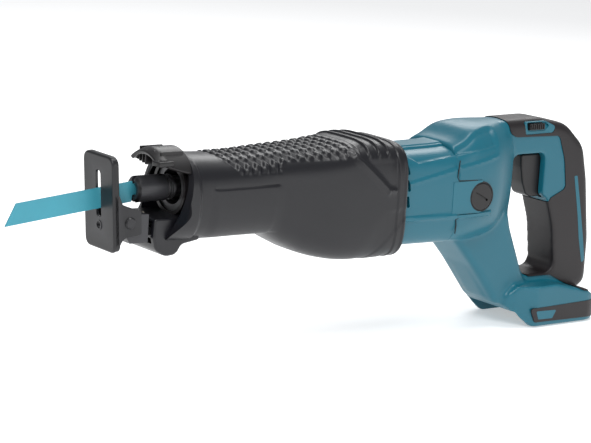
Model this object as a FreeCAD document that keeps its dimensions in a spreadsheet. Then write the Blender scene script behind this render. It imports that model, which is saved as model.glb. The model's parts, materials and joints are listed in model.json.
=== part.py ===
"""Cordless reciprocating saw, body only, as a parametric FreeCAD document.

Frame: -X is forward (towards the blade), +Y is the tool's right side, +Z is up.
Origin: middle of the battery rails, on the symmetry plane, at the underside of the foot.
Lengths are in millimetres.
"""
import FreeCAD, Part
import os
import Sketcher
from FreeCAD import Placement, Rotation, Vector

SIZES = {
    # axes and the drive
    "slider_height": 136.0,
    "motor_height": 116.5,
    "crank_place": -222.0,
    "crank_throw": 16.0,
    "crank_gear_radius": 30.0,
    "crank_gear_thick": 10.0,
    "pinion_radius": 6.3,
    "pinion_length": 9.0,
    "mesh_gap": 0.15,
    "running_gap": 0.04,
    "piece_gap": 0.3,
    # slider, clamp and blade
    "slider_radius": 8.0,
    "yoke_play": 3.7,
    "yoke_wall": 5.0,
    "roller_radius": 5.0,
    "crank_pin_radius": 3.5,
    "clamp_front": -398.0,
    "clamp_length": 26.0,
    "clamp_radius": 10.0,
    "blade_reach": 106.0,
    "blade_depth": 15.4,
    "blade_thick": 1.3,
    "blade_fall": 10.0,
    # nose
    "nose_half_width": 32.0,
    "nose_top": 161.0,
    "nose_bottom": 96.4,
    "nose_front": -361.5,
    "snout_reach": 17.0,
    "snout_radius": 18.4,
    "snout_bore": 13.5,
    "bush_radius": 12.5,
    "bush_length": 40.0,
    "lever_thick": 3.0,
    "hood_radius": 31.0,
    "hood_reach": 28.0,
    # shoe
    "shoe_face": -426.0,
    "shoe_half_width": 20.5,
    "shoe_top": 166.0,
    "shoe_bottom": 93.6,
    "shoe_sheet": 2.2,
    "shoe_flange": 6.0,
    "shoe_slot_width": 6.8,
    "shoe_slot_top": 154.0,
    "shoe_slot_bottom": 118.5,
    "shoe_lean": 4.4,
    "shoe_pivot_place": -411.8,
    "shoe_pivot_height": 115.4,
    "shoe_pin_radius": 2.5,
    "bracket_half_width": 13.0,
    "bracket_thick": 6.0,
    "bracket_height": 106.5,
    "bracket_length": 74.0,
    # boot and gear housing
    "boot_wall": 3.0,
    "boot_rear": -168.0,
    "boot_half_width": 40.5,
    "boot_top": 164.0,
    "boot_bottom": 71.0,
    "casting_wall": 3.5,
    "casting_rear": -190.0,
    "cover_thick": 10.0,
    # motor
    "shaft_radius": 4.0,
    "stator_radius": 29.0,
    "stator_wall": 3.0,
    "magnet_thick": 4.0,
    "air_gap": 0.8,
    "stator_front": -164.0,
    "stator_length": 51.0,
    "fan_radius": 25.0,
    "brush_place": -88.0,
    "commutator_radius": 11.0,
    "commutator_length": 18.0,
    "cap_radius": 11.2,
    "cap_face": 38.4,
    "bearing_front_radius": 11.0,
    "bearing_rear_radius": 8.0,
    # plastic housings
    "housing_wall": 3.0,
    "housing_half_width": 38.0,
    "housing_top": 157.5,
    "housing_bottom": 77.0,
    "parting_place": -113.0,
    "handle_top": 173.5,
    "handle_back": 58.0,
    "grip_half_width": 17.0,
    "skin_thick": 1.8,
    "shell_wall": 2.2,
    "leg_half_width": 24.0,
    "foot_half_width": 37.0,
    "foot_height": 36.0,
    "foot_front": -42.0,
    "rail_depth": 14.0,
    "rail_half_gap": 30.0,
    "rail_groove": 3.0,
    # controls
    "trigger_travel": 7.0,
    "trigger_half_width": 9.5,
    "screw_radius": 1.9,
}

DOC = FreeCAD.newDocument("reciprocating_saw")
SHEET = DOC.addObject("Spreadsheet::Sheet", "Sizes")
ALONG_X = Rotation(Vector(0, 1, 0), 90)
ALONG_Y = Rotation(Vector(1, 0, 0), -90)
ALONG_Z = Rotation()
PIECES = {}


class Size:
    """A value with the sheet expression that it comes from."""

    def __init__(self, value, text):
        self.value = float(value)
        self.text = text

    def _join(self, other, sign, swap=False):
        other = other if isinstance(other, Size) else Size(other, f"({other!r})")
        left, right = (other, self) if swap else (self, other)
        value = {
            "+": left.value + right.value,
            "-": left.value - right.value,
            "*": left.value * right.value,
        }[sign]
        return Size(value, f"({left.text} {sign} {right.text})")

    def __add__(self, other):
        return self._join(other, "+")

    def __radd__(self, other):
        return self._join(other, "+", True)

    def __sub__(self, other):
        return self._join(other, "-")

    def __rsub__(self, other):
        return self._join(other, "-", True)

    def __mul__(self, other):
        return self._join(other, "*")

    def __rmul__(self, other):
        return self._join(other, "*", True)

    def __truediv__(self, number):
        return Size(self.value / number, f"({self.text} / {number})")

    def __neg__(self):
        return Size(-self.value, f"(0 - {self.text})")


def fill_sheet():
    for row, (alias, value) in enumerate(SIZES.items(), start=1):
        SHEET.set(f"A{row}", str(value))
        SHEET.setAlias(f"A{row}", alias)
    DOC.recompute()


def size(alias):
    return Size(SIZES[alias], f"Sizes.{alias}")


def as_size(number):
    return number if isinstance(number, Size) else Size(number, repr(float(number)))


def bind(thing, prop, amount):
    thing.setExpression(prop, as_size(amount).text)


def place(thing, x, y, z, turn=ALONG_Z):
    """Put a thing at x, y, z, bound to the sheet, turned by a fixed rotation."""
    x, y, z = as_size(x), as_size(y), as_size(z)
    thing.Placement = Placement(Vector(x.value, y.value, z.value), turn)
    for letter, amount in zip("xyz", (x, y, z)):
        bind(thing, f"Placement.Base.{letter}", amount)
    return thing


# ---------------------------------------------------------------- solids
def box(name, x_range, y_range, z_range):
    thing = DOC.addObject("Part::Box", name)
    ranges = [(as_size(low), as_size(high)) for low, high in (x_range, y_range, z_range)]
    for prop, (low, high) in zip(("Length", "Width", "Height"), ranges):
        bind(thing, prop, high - low)
    return place(thing, *(low for low, _ in ranges))


def rod(name, turn, start, end, radius, first, second):
    """A cylinder from start to end along its axis; first and second place it across."""
    thing = DOC.addObject("Part::Cylinder", name)
    start, end = as_size(start), as_size(end)
    bind(thing, "Radius", radius)
    bind(thing, "Height", end - start)
    where = {
        id(ALONG_X): (start, first, second),
        id(ALONG_Y): (first, start, second),
        id(ALONG_Z): (first, second, start),
    }[id(turn)]
    return place(thing, *where, turn)


def ring(name, turn, start, end, outer, inner, first, second):
    wall = rod(name + "_outer", turn, start, end, outer, first, second)
    hole = rod(name + "_hole", turn, as_size(start) - 1, as_size(end) + 1, inner, first, second)
    return cut(name, wall, hole)


def cut(name, base, *tools):
    """base without its tools."""
    for count, tool in enumerate(tools, start=1):
        thing = DOC.addObject("Part::Cut", name if count == len(tools) else f"{name}_cut{count}")
        thing.Base = base
        thing.Tool = tool
        base = thing
    return base


def gather(kind, name, things):
    thing = DOC.addObject(kind, name)
    thing.Shapes = list(things)
    return thing


def fuse(name, *things):
    return gather("Part::MultiFuse", name, things)


def common(name, *things):
    return gather("Part::MultiCommon", name, things)


def group(name, *things):
    """Separate solids that share one node."""
    thing = DOC.addObject("Part::Compound", name)
    thing.Links = list(things)
    return thing


def mirrored(name, thing):
    """The piece's twin across the symmetry plane."""
    twin = DOC.addObject("Part::Mirroring", name)
    twin.Source = thing
    twin.Normal = Vector(0, 1, 0)
    return twin


def keep(name, thing):
    """Mark a thing as the sub-part that is written out under this name."""
    thing.Label = name
    PIECES[name] = thing
    return thing


# ---------------------------------------------------------------- part design bodies
def start_body(name):
    return DOC.addObject("PartDesign::Body", name)


def sketch_on(body, name, role, level=0):
    """An empty sketch on one of the body's own origin planes, level above it."""
    sketch = body.newObject("Sketcher::SketchObject", name)
    plane = next(item for item in body.Origin.OriginFeatures if item.Role == role)
    sketch.AttachmentSupport = [(plane, "")]
    sketch.MapMode = "FlatFace"
    bind(sketch, "AttachmentOffset.Base.z", level)
    sketch.AttachmentOffset = Placement(Vector(0, 0, as_size(level).value), Rotation())
    return sketch


def pin_point(sketch, item, end, across, along):
    """Tie one end of a sketch item to its two distances from the sketch's origin."""
    for kind, amount in (("DistanceX", as_size(across)), ("DistanceY", as_size(along))):
        number = sketch.addConstraint(Sketcher.Constraint(kind, -1, 1, item, end, amount.value))
        sketch.setExpression(f"Constraints[{number}]", amount.text)


def outline(sketch, corners):
    """A closed loop of straight edges through corners, each bound to the sheet."""
    corners = [(as_size(across), as_size(along)) for across, along in corners]
    points = [Vector(across.value, along.value, 0) for across, along in corners]
    first = len(sketch.Geometry)
    for start, end in zip(points, points[1:] + points[:1]):
        sketch.addGeometry(Part.LineSegment(start, end))
    count = len(corners)
    for number in range(count):
        after = first + (number + 1) % count
        sketch.addConstraint(Sketcher.Constraint("Coincident", first + number, 2, after, 1))
    for number, (across, along) in enumerate(corners):
        pin_point(sketch, first + number, 1, across, along)
    return sketch


def round_box(sketch, half_width, bottom, top, radius):
    """A rectangle about the sketch's upright axis with four equal round corners."""
    half, low, high, bend = (as_size(item) for item in (half_width, bottom, top, radius))
    w, b, t, r = half.value, low.value, high.value, bend.value
    lines = [((-w + r, b), (w - r, b)), ((w, b + r), (w, t - r)), ((w - r, t), (-w + r, t)),
             ((-w, t - r), (-w, b + r))]
    centres = [(w - r, b + r), (w - r, t - r), (-w + r, t - r), (-w + r, b + r)]
    quarter = 1.5707963267948966
    for number, (line, centre) in enumerate(zip(lines, centres)):
        sketch.addGeometry(Part.LineSegment(Vector(*line[0], 0), Vector(*line[1], 0)))
        circle = Part.Circle(Vector(*centre, 0), Vector(0, 0, 1), r)
        sketch.addGeometry(Part.ArcOfCircle(circle, (number - 1) * quarter, number * quarter))
    for number in range(4):
        line, arc, after = 2 * number, 2 * number + 1, (2 * number + 2) % 8
        sketch.addConstraint(Sketcher.Constraint("Tangent", line, 2, arc, 1))
        sketch.addConstraint(Sketcher.Constraint("Tangent", arc, 2, after, 1))
        sketch.addConstraint(Sketcher.Constraint("Vertical" if number % 2 else "Horizontal", line))
    for arc in (3, 5, 7):
        sketch.addConstraint(Sketcher.Constraint("Equal", 1, arc))
    ties = (("Radius", (1,), bend), ("DistanceX", (-1, 1, 2, 1), half), ("DistanceX", (-1, 1, 6, 1), -half),
            ("DistanceY", (-1, 1, 0, 1), low), ("DistanceY", (-1, 1, 4, 1), high))
    for kind, items, amount in ties:
        number = sketch.addConstraint(Sketcher.Constraint(kind, *items, amount.value))
        sketch.setExpression(f"Constraints[{number}]", amount.text)
    return sketch


def slab(name, corners, start, end, role="XZ_Plane"):
    """A pad of a straight-edged outline, from start to end along the plane's row axis."""
    start, end = as_size(start), as_size(end)
    body = start_body(name)
    level = -start if role == "XZ_Plane" else start
    sketch = outline(sketch_on(body, name + "_sketch", role, level), corners)
    pad = body.newObject("PartDesign::Pad", name + "_pad")
    pad.Profile = sketch
    bind(pad, "Length", end - start)
    pad.Reversed = role == "XZ_Plane"
    return body


def turned(name, profile, height, place_x=0, turn=ALONG_Z, place_y=0):
    """A revolution: profile is (along, radius) corners, along +X before it is turned."""
    body = start_body(name)
    sketch = outline(sketch_on(body, name + "_sketch", "XZ_Plane"), profile)
    spin = body.newObject("PartDesign::Revolution", name + "_turn")
    spin.Profile = sketch
    spin.ReferenceAxis = (sketch, ["H_Axis"])
    spin.Angle = 360.0
    return place(body, place_x, place_y, height, turn)


def tube_profile(start, end, outer, inner):
    return [(start, inner), (end, inner), (end, outer), (start, outer)]


def lofted(name, sections):
    """A ruled loft through round boxes: (place, half width, bottom, top, radius)."""
    body = start_body(name)
    sketches = []
    for number, (where, half_width, bottom, top, radius) in enumerate(sections):
        sketch = sketch_on(body, f"{name}_section{number}", "YZ_Plane", where)
        sketches.append(round_box(sketch, half_width, bottom, top, radius))
    loft = body.newObject("PartDesign::AdditiveLoft", name + "_loft")
    loft.Profile = sketches[0]
    loft.Sections = sketches[1:]
    loft.Ruled = True
    return body


# ---------------------------------------------------------------- envelopes
def boot_sections(inset, front, rear):
    """The nose and gear bulge's outer form, taken in by inset, cut to front and rear."""
    half, top, low = size("nose_half_width"), size("nose_top"), size("nose_bottom")
    wide, high, deep = size("boot_half_width"), size("boot_top"), size("boot_bottom")
    crank = size("crank_place")
    rows = [
        (front, half, low, top, 24),
        (crank - 68, half, low, top, 24),
        (crank - 32, half + 4, deep + 9, top, 22),
        (crank - 7, wide - 1, deep + 1.5, top + 1, 20),
        (crank + 27, wide, deep, high + 1.5, 18),
        (rear, wide, deep + 1.5, high - 2, 17),
    ]
    return [(x, w - inset, b + inset, t - inset, r - inset) for x, w, b, t, r in rows]


def handle_outline(inset):
    """Side view of the D frame's outer edge, taken in by inset."""
    top, back, front = size("handle_top") - inset, size("handle_back") - inset, size("parting_place") + inset
    return [
        (front, size("housing_bottom") + inset),
        (front, size("housing_top") - inset),
        (front + 4, size("housing_top") - inset),
        (front + 26, top - 1.5),
        (front + 68, top),
        (back - 54, top - 0.8),
        (back - 28, top - 12.5),
        (back - 12, top - 33),
        (back - 6, top - 56),
        (back, size("motor_height") - 46),
        (back, size("foot_height") + inset),
        (back - 2, size("foot_height") - 8 + inset),
        (size("foot_front") + inset, size("foot_height") - 8 + inset),
        (size("foot_front") - 10 + inset, 27 + inset),
        (front + 36, size("housing_bottom") - 23 + inset),
        (front + 10, size("housing_bottom") + inset),
    ]


def opening_outline(outset):
    """The finger opening of the D frame, enlarged by outset."""
    front, back, low = -38 - outset, outset, size("foot_height") + 3.5 - outset
    return [
        (front, 144 + outset),
        (front, 84 - outset / 2),
        (-17 - outset, low),
        (19.5 + outset, low),
        (14 + back, 80),
        (5 + back, 104),
        (-1 + back, 108),
        (-1 + back, 144 + outset),
    ]


def handle_form(name, inset):
    """The whole handle as one solid, taken in by inset all round."""
    front, wide = size("parting_place"), size("housing_half_width")
    top, low = size("handle_top"), size("housing_bottom")
    body = lofted(name + "_barrel", [
        (front + inset, wide - inset, low + inset, size("housing_top") - inset, 15 - inset),
        (front + 8, wide - inset, low + inset, size("housing_top") - inset, 15 - inset),
        (front + 26, wide - inset, low + inset, top - 1.5 - inset, 16 - inset),
        (front + 52, wide - 6 - inset, low + inset, top - inset, 16 - inset),
        (-38 - inset, 22 - inset, low + 6 + inset, top - inset, 12 - inset),
    ])
    frame = slab(name + "_frame", handle_outline(inset), inset - size("grip_half_width"),
                 size("grip_half_width") - inset)
    leg = slab(name + "_leg", [
        (front + 12 + inset, low + 10),
        (-40 - inset, low + 10),
        (-40 - inset, 84),
        (-19 - inset, size("foot_height") + 3.5 - inset),
        (-19 - inset, size("foot_height") - 10),
        (size("foot_front") - 10 + inset, 27 + inset),
        (front + 36 + inset, low - 23 + inset),
        (front + 12 + inset, low + inset),
    ], inset - size("leg_half_width"), size("leg_half_width") - inset)
    foot = foot_form(name + "_foot", inset)
    solid = fuse(name + "_solid", body, frame, leg, foot)
    opening = slab(name + "_opening", opening_outline(inset), -60, 60)
    return cut(name, solid, opening)


def foot_form(name, inset):
    """The battery foot: a plate with round rear corners and a slanted front."""
    wide, back, high = size("foot_half_width") - inset, size("handle_back") - inset, size("foot_height")
    corner = 13.0
    plan = slab(name + "_plan", [
        (size("foot_front") - 10 + inset, -wide),
        (back - corner, -wide),
        (back, -wide + corner),
        (back, wide - corner),
        (back - corner, wide),
        (size("foot_front") - 10 + inset, wide),
    ], 0, high - inset, "XY_Plane")
    side = slab(name + "_side", [
        (-18 + inset, 0),
        (back, 0),
        (back, 22 - inset),
        (back - 12, high - inset),
        (-22, high + 4 - inset),
        (size("foot_front") + inset, 30 - inset),
        (size("foot_front") + inset, 18.5 + inset),
    ], -wide, wide)
    return common(name, plan, side)


# ---------------------------------------------------------------- blade, clamp and slider
def make_saw_blade():
    """A plain straight blade whose shank sits in the clamp and whose web slopes down."""
    depth, height, reach = size("blade_depth"), size("slider_height"), size("blade_reach")
    front, root = size("clamp_front") - 1, size("clamp_front") + 24
    tip = front - reach
    drop = size("blade_fall")
    half_thick = size("blade_thick") / 2
    middle = height - 1.5
    blade = slab("saw_blade_web", [
        (root, height + 4),
        (front + 0.6, height + 4),
        (front, middle + depth / 2),
        (tip + 8.5, middle + depth / 2 - drop),
        (tip, middle - depth / 2 - drop - 1),
        (front, middle - depth / 2),
        (front + 0.6, height - 4),
        (root, height - 4),
    ], -half_thick, half_thick)
    hole = rod("saw_blade_hole", ALONG_Y, -5, 5, size("screw_radius") + 0.2, root - 5, height)
    keep("saw_blade", cut("saw_blade_cut", blade, hole))


def make_slider():
    """The reciprocating shaft with the cross yoke that the crank roller works in."""
    height, radius, crank = size("slider_height"), size("slider_radius"), size("crank_place")
    slot = size("roller_radius") + size("yoke_play")
    outer = slot + size("yoke_wall")
    reach = size("crank_throw") + size("roller_radius") + 1
    shaft = rod("slider_rod", ALONG_X, size("clamp_front") + 5, crank - outer + 2, radius, 0, height)
    block = box("slider_block", (crank - outer, crank + outer), (-reach - 5, reach + 5),
                (height - 6, height + 6))
    window = box("slider_window", (crank - slot, crank + slot), (-reach, reach), (height - 7, height + 7))
    blade_slit = box("slider_slit", (size("clamp_front"), size("clamp_front") + 24.3),
                     (-0.75, 0.75), (height - 9, height + 9))
    pin_hole = rod("slider_pin_hole", ALONG_Y, -12, 12, size("screw_radius") + 0.05,
                   size("clamp_front") + 19, height)
    keep("slider_shaft", cut("slider_cut", fuse("slider_solid", shaft, block), window, blade_slit, pin_hole))
    keep("blade_clamp_pin", rod("clamp_pin", ALONG_Y, -9.5, 9.5, size("screw_radius"),
                                size("clamp_front") + 19, height))


def make_clamp_sleeve():
    """The knurled sleeve on the slider's end, with a slotted front face."""
    height, radius, front = size("slider_height"), size("clamp_radius"), size("clamp_front")
    inner = size("slider_radius") + size("running_gap")
    sleeve = turned("clamp_sleeve_turned", [
        (0, 5.5), (3, 5.5), (5, inner), (size("clamp_length"), inner),
        (size("clamp_length"), radius), (2, radius), (0, radius - 2),
    ], height, front)
    mouth = box("clamp_sleeve_mouth", (front - 1, front + 5.2), (-1.6, 1.6), (height - 11, height + 11))
    pin_room = ring("clamp_pin_room", ALONG_X, front + 16.5, front + 21.5, 9.75, 7.5, 0, height)
    keep("blade_clamp_sleeve", cut("clamp_sleeve_cut", sleeve, mouth, pin_room))
    spring_start = front + size("clamp_length") + 0.3
    coils = [
        ring(f"clamp_spring_turn{turn}", ALONG_X, spring_start + 2.2 * turn,
             spring_start + 2.2 * turn + 1.6,
             9.6, inner, 0, height)
        for turn in range(3)
    ]
    keep("clamp_spring", group("clamp_spring_turns", *coils))


def make_clamp_lever():
    """The release lever: a collar on the snout that carries the hood over the blade clamp."""
    height, thick = size("slider_height"), size("lever_thick")
    hood, front = size("hood_radius"), size("nose_front")
    inner = size("snout_radius") + size("running_gap") + 0.05
    collar = ring("lever_collar", ALONG_X, front - 0.5, front + 14, inner + thick, inner, 0, height)
    web = ring("lever_web", ALONG_X, front - 4, front - 0.5, hood, inner, 0, height)
    roof = ring("lever_roof", ALONG_X, front - size("hood_reach"), front - 0.5, hood, hood - thick, 0,
                height)
    wedge = slab("lever_wedge", [(0, 0), (-33, 30), (-33, 50), (33, 50), (33, 30)], -60, 60, "YZ_Plane")
    place(wedge, front - 8, 0, height)
    upper = common("lever_upper", fuse("lever_roofs", web, roof), wedge)
    tab = box("lever_tab", (front - size("hood_reach") - 1.5, front - 16), (-24, -14),
              (height + 23.5, height + 26.5))
    keep("clamp_lever", fuse("lever_solid", collar, upper, tab))


# ---------------------------------------------------------------- shoe
def tilted_shoe(name, thing):
    """Lean a piece of the shoe about its pivot."""
    x, z, lean = SIZES["shoe_pivot_place"], SIZES["shoe_pivot_height"], SIZES["shoe_lean"]
    pivot = Placement(Vector(x, 0, z), Rotation(Vector(0, 1, 0), -lean))
    holder = group(name, thing)
    holder.Placement = pivot.multiply(Placement(Vector(-x, 0, -z), Rotation()))
    return holder


def make_shoe():
    """The pressed shoe: slotted face, two side flanges and two pivot ears."""
    face, sheet, half = size("shoe_face"), size("shoe_sheet"), size("shoe_half_width")
    low, high, depth = size("shoe_bottom"), size("shoe_top"), size("shoe_flange")
    pivot_x, pivot_z = size("shoe_pivot_place"), size("shoe_pivot_height")
    plate = box("shoe_plate_sheet", (face, face + sheet), (-half, half), (low, high))
    walls = []
    for side, name in ((-1, "left"), (1, "right")):
        span = (-half, -half + sheet) if side < 0 else (half - sheet, half)
        flange = box(f"shoe_flange_{name}", (face + sheet, face + depth), span, (low + 2, high - 2))
        ear = slab(f"shoe_ear_{name}", [
            (face + 1, pivot_z - 16), (face + 8, pivot_z - 11), (pivot_x + 10, pivot_z - 10),
            (pivot_x + 10, pivot_z + 8), (pivot_x, pivot_z + 11), (face + 1, pivot_z + 22),
        ], *span)
        walls += [flange, ear]
    slot_half = size("shoe_slot_width") / 2
    slot = box("shoe_slot", (face - 1, face + sheet + 1), (-slot_half, slot_half),
               (size("shoe_slot_bottom"), size("shoe_slot_top") - slot_half))
    arch = rod("shoe_slot_arch", ALONG_X, face - 1, face + sheet + 1, slot_half, 0,
               size("shoe_slot_top") - slot_half)
    rivet_hole = rod("shoe_rivet_hole", ALONG_X, face - 1, face + sheet + 1, 2.6, 0, pivot_z - 3)
    pin_hole = rod("shoe_pin_hole", ALONG_Y, -30, 30, size("shoe_pin_radius") + size("running_gap"),
                   pivot_x, pivot_z)
    solid = fuse("shoe_solid", plate, *walls)
    keep("shoe_plate", tilted_shoe("shoe_tilted", cut("shoe_cut", solid, slot, arch, rivet_hole, pin_hole)))


def make_shoe_bracket():
    """The sliding bar in the nose with the head that the shoe swings on."""
    pivot_x, pivot_z = size("shoe_pivot_place"), size("shoe_pivot_height")
    half, thick, level = size("bracket_half_width"), size("bracket_thick"), size("bracket_height")
    rear = pivot_x + 17.5
    inner = size("shoe_half_width") - size("shoe_sheet") - size("piece_gap")
    bar = box("bracket_bar", (rear - 2, rear + size("bracket_length")), (-half, half),
              (level - thick / 2, level + thick / 2))
    cheeks = slab("bracket_cheeks", [
        (pivot_x - 5, pivot_z - 6), (pivot_x + 2, pivot_z - 16), (rear, pivot_z - 16), (rear, pivot_z + 5),
        (pivot_x + 2, pivot_z + 6), (pivot_x - 5, pivot_z + 5),
    ], -inner, inner)
    window = box("bracket_window", (pivot_x - 8, rear - 3), (-9, 9), (pivot_z - 3, pivot_z + 9))
    pin_hole = rod("bracket_pin_hole", ALONG_Y, -30, 30, size("shoe_pin_radius") + size("running_gap"),
                   pivot_x, pivot_z)
    slots = [
        box(f"bracket_lock_slot{side}", (rear + 14, rear + 66), (side * 7 - 2.3, side * 7 + 2.3),
            (level - 9, level + 9))
        for side in (-1, 1)
    ]
    keep("shoe_bracket", cut("bracket_cut", fuse("bracket_solid", bar, cheeks), window, pin_hole, *slots))
    pin = turned("shoe_pin_turned", [
        (-size("shoe_half_width") - 1.6, 0), (size("shoe_half_width") + 1.6, 0),
        (size("shoe_half_width") + 1.6, 3.6), (size("shoe_half_width") + 0.3, 4.4),
        (size("shoe_half_width") + 0.3, size("shoe_pin_radius")),
        (-size("shoe_half_width") - 0.3, size("shoe_pin_radius")),
        (-size("shoe_half_width") - 0.3, 4.4), (-size("shoe_half_width") - 1.6, 3.6),
    ], pivot_z, pivot_x, Rotation(Vector(0, 0, 1), 90))
    keep("shoe_pivot_pin", pin)


# ---------------------------------------------------------------- nose and gear case
def channel_box(name, grow, front, rear):
    """The bar's channel under the snout, grown by a clearance."""
    half, level, thick = size("bracket_half_width"), size("bracket_height"), size("bracket_thick")
    return box(name, (front, rear), (-half - grow, half + grow),
               (level - thick / 2 - grow, level + thick / 2 + grow))


def make_gear_housing():
    """The aluminium casting: nose snout, bush tower, bar channel and gear chamber."""
    height, crank, motor = size("slider_height"), size("crank_place"), size("motor_height")
    front = size("nose_front") + size("snout_reach")
    rear, wall = size("casting_rear"), size("casting_wall")
    outer_inset = size("boot_wall") + size("piece_gap")
    full_front, full_rear = size("nose_front"), size("boot_rear")
    outer = common("casting_outer", lofted("casting_outer_form", boot_sections(outer_inset, full_front, full_rear)),
                   box("casting_span", (front, rear), (-60, 60), (40, 200)))
    inner = common("casting_inner", lofted("casting_inner_form", boot_sections(outer_inset + wall, full_front, full_rear)),
                   box("casting_chamber", (front + 4, rear + 1), (-60, 60), (40, 200)))
    gear_floor = motor - size("pinion_radius") - size("crank_gear_thick") - 4
    shell = cut("casting_shell", outer, inner)
    snout = rod("casting_snout", ALONG_X, size("nose_front") - 2, front + 2, size("snout_radius"), 0,
                height)
    tower = rod("casting_tower", ALONG_X, front, front + 5 + size("bush_length") + 5,
                size("bush_radius") + 4.5, 0, height)
    rib = common("casting_rib", lofted("casting_rib_form", boot_sections(outer_inset + 0.5, full_front, full_rear)),
                 box("casting_rib_box", (front + 42, front + 46), (-60, 60), (60, 180)))
    channel = channel_box("casting_channel", 2.8, size("nose_front") - 26, front + 50)
    boss_rod = rod("casting_boss_rod", ALONG_Z, size("boot_bottom"), gear_floor - 2, 17, crank, 0)
    boss = common("casting_boss", boss_rod,
                  lofted("casting_boss_form", boot_sections(outer_inset, full_front, full_rear)))
    solid = fuse("casting_solid", shell, snout, tower, rib, channel, boss)
    holes = [
        rod("casting_snout_bore", ALONG_X, size("nose_front") - 3, front + 0.5, size("snout_bore"), 0,
            height),
        rod("casting_bush_bore", ALONG_X, front, front + 5.5 + size("bush_length"),
            size("bush_radius") + 0.02, 0, height),
        rod("casting_slider_way", ALONG_X, front, front + 60, size("slider_radius") + 1.5, 0, height),
        channel_box("casting_channel_way", size("piece_gap"), size("nose_front") - 27, front + 46),
        *[rod(f"casting_bolt_way{side}", ALONG_Z, 90, size("bracket_height") + 5,
              size("screw_radius") + 0.05,
              size("nose_front") - 3, side * 7) for side in (-1, 1)],
        rod("casting_bearing_bore", ALONG_Z, size("boot_bottom") + 9, gear_floor + 2, 13.02, crank, 0),
    ]
    keep("gear_housing", cut("casting", solid, *holes))


def make_nose_fittings():
    """Bush, seal, guide plate and the screws that lock the bar."""
    height, crank = size("slider_height"), size("crank_place")
    front = size("nose_front") + size("snout_reach") + 5.5
    bush_inner = size("slider_radius") + size("running_gap")
    keep("slider_bushing", turned("bushing_turned", tube_profile(0, size("bush_length"), size("bush_radius"), bush_inner),
                                  height, front))
    keep("slider_seal", turned("seal_turned", [
        (0, size("slider_radius") + 0.3), (4.8, size("slider_radius") + 0.3), (4.8,
                                                                               size("bush_radius") - 0.2),
        (0, size("bush_radius") - 0.2),
    ], height, front - 5.2))
    fit = size("boot_wall") + size("piece_gap") + size("casting_wall") + 0.05
    plate = common("guide_plate_common", lofted("guide_plate_form", boot_sections(fit, size("nose_front"), size("boot_rear"))),
                   box("guide_plate_box", (crank - 34, crank + 28), (-60, 60),
                       (height + 8.5, height + 11.5)))
    keep("slider_guide_plate", plate)
    level, bolt_x = size("bracket_height"), size("nose_front") - 3
    bolts = []
    for side in (-1, 1):
        shank = rod(f"lock_bolt_shank{side}", ALONG_Z, level - 7, level + 4.5, size("screw_radius"),
                    bolt_x, side * 7)
        head = rod(f"lock_bolt_head{side}", ALONG_Z, level - 9.4, level - 6, 3.4, bolt_x, side * 7)
        bolts.append(fuse(f"lock_bolt{side}", shank, head))
    return bolts


def make_boot():
    """The rubber boot over the whole casting, with its lower lobe round the bar channel."""
    height, gap = size("slider_height"), size("piece_gap")
    front, rear, wall = size("nose_front"), size("boot_rear"), size("boot_wall")
    outer = lofted("boot_outer", boot_sections(0, front, rear))
    inner = lofted("boot_inner", boot_sections(wall, front - 1, rear + 1))
    lobe = slab("boot_lobe", [
        (front - 27, 94), (front - 22, 90), (front - 13, 88), (front - 3, 90), (front + 4,
                                                                                96), (front + 10, 99),
        (front + 10, 112), (front - 18, 117.5), (front - 31, 117.5), (front - 31, 99),
    ], -21, 21)
    mouth = rod("boot_clamp_room", ALONG_X, front - 40, front - 5, 17, 0, height)
    lever_room = rod("boot_lever_room", ALONG_X, front - 5, front + 16,
                     size("snout_radius") + size("lever_thick") + 0.6, 0, height)
    channel = channel_box("boot_channel_room", 3.1, front - 40, front + 68)
    bolt_ways = [rod(f"boot_bolt_way{side}", ALONG_Z, 80, size("bracket_height"), 3.9, front - 3, side * 7)
                 for side in (-1, 1)]
    lens_room = rod("boot_lens_room", ALONG_X, front - 32, front - 24.5, 2.3, 0, 116.2)
    solid = fuse("boot_solid", cut("boot_skin", outer, inner), lobe)
    keep("insulation_boot", cut("boot", solid, mouth, lever_room, channel, lens_room, *bolt_ways))
    keep("lamp_lens", turned("lens_turned", [(0, 0), (5, 0), (5, 2.2), (1, 2.2), (0, 1.4)], 116.2, front - 31))


def make_cover():
    """The plate that closes the gear chamber and holds the motor's front bearing."""
    rear, thick, motor = size("casting_rear"), size("cover_thick"), size("motor_height")
    inset = size("boot_wall") + size("piece_gap")
    form = lofted("cover_form", boot_sections(inset, size("nose_front"), size("boot_rear")))
    plate = common("cover_plate", form, box("cover_box", (rear, rear + thick), (-60, 60), (40, 200)))
    bore = rod("cover_bore", ALONG_X, rear - 1, rear + thick + 1, size("bearing_front_radius") + 0.05, 0,
               motor)
    holes = [
        rod(f"cover_hole{number}", ALONG_X, rear - 1, rear + thick + 1, size("screw_radius") + 0.2, y, z)
        for number, (y, z) in enumerate(COVER_SCREWS)
    ]
    keep("gear_housing_cover", cut("cover", plate, bore, *holes))


COVER_SCREWS = [(-28, 92), (28, 92), (-28, 146), (28, 146)]


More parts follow.
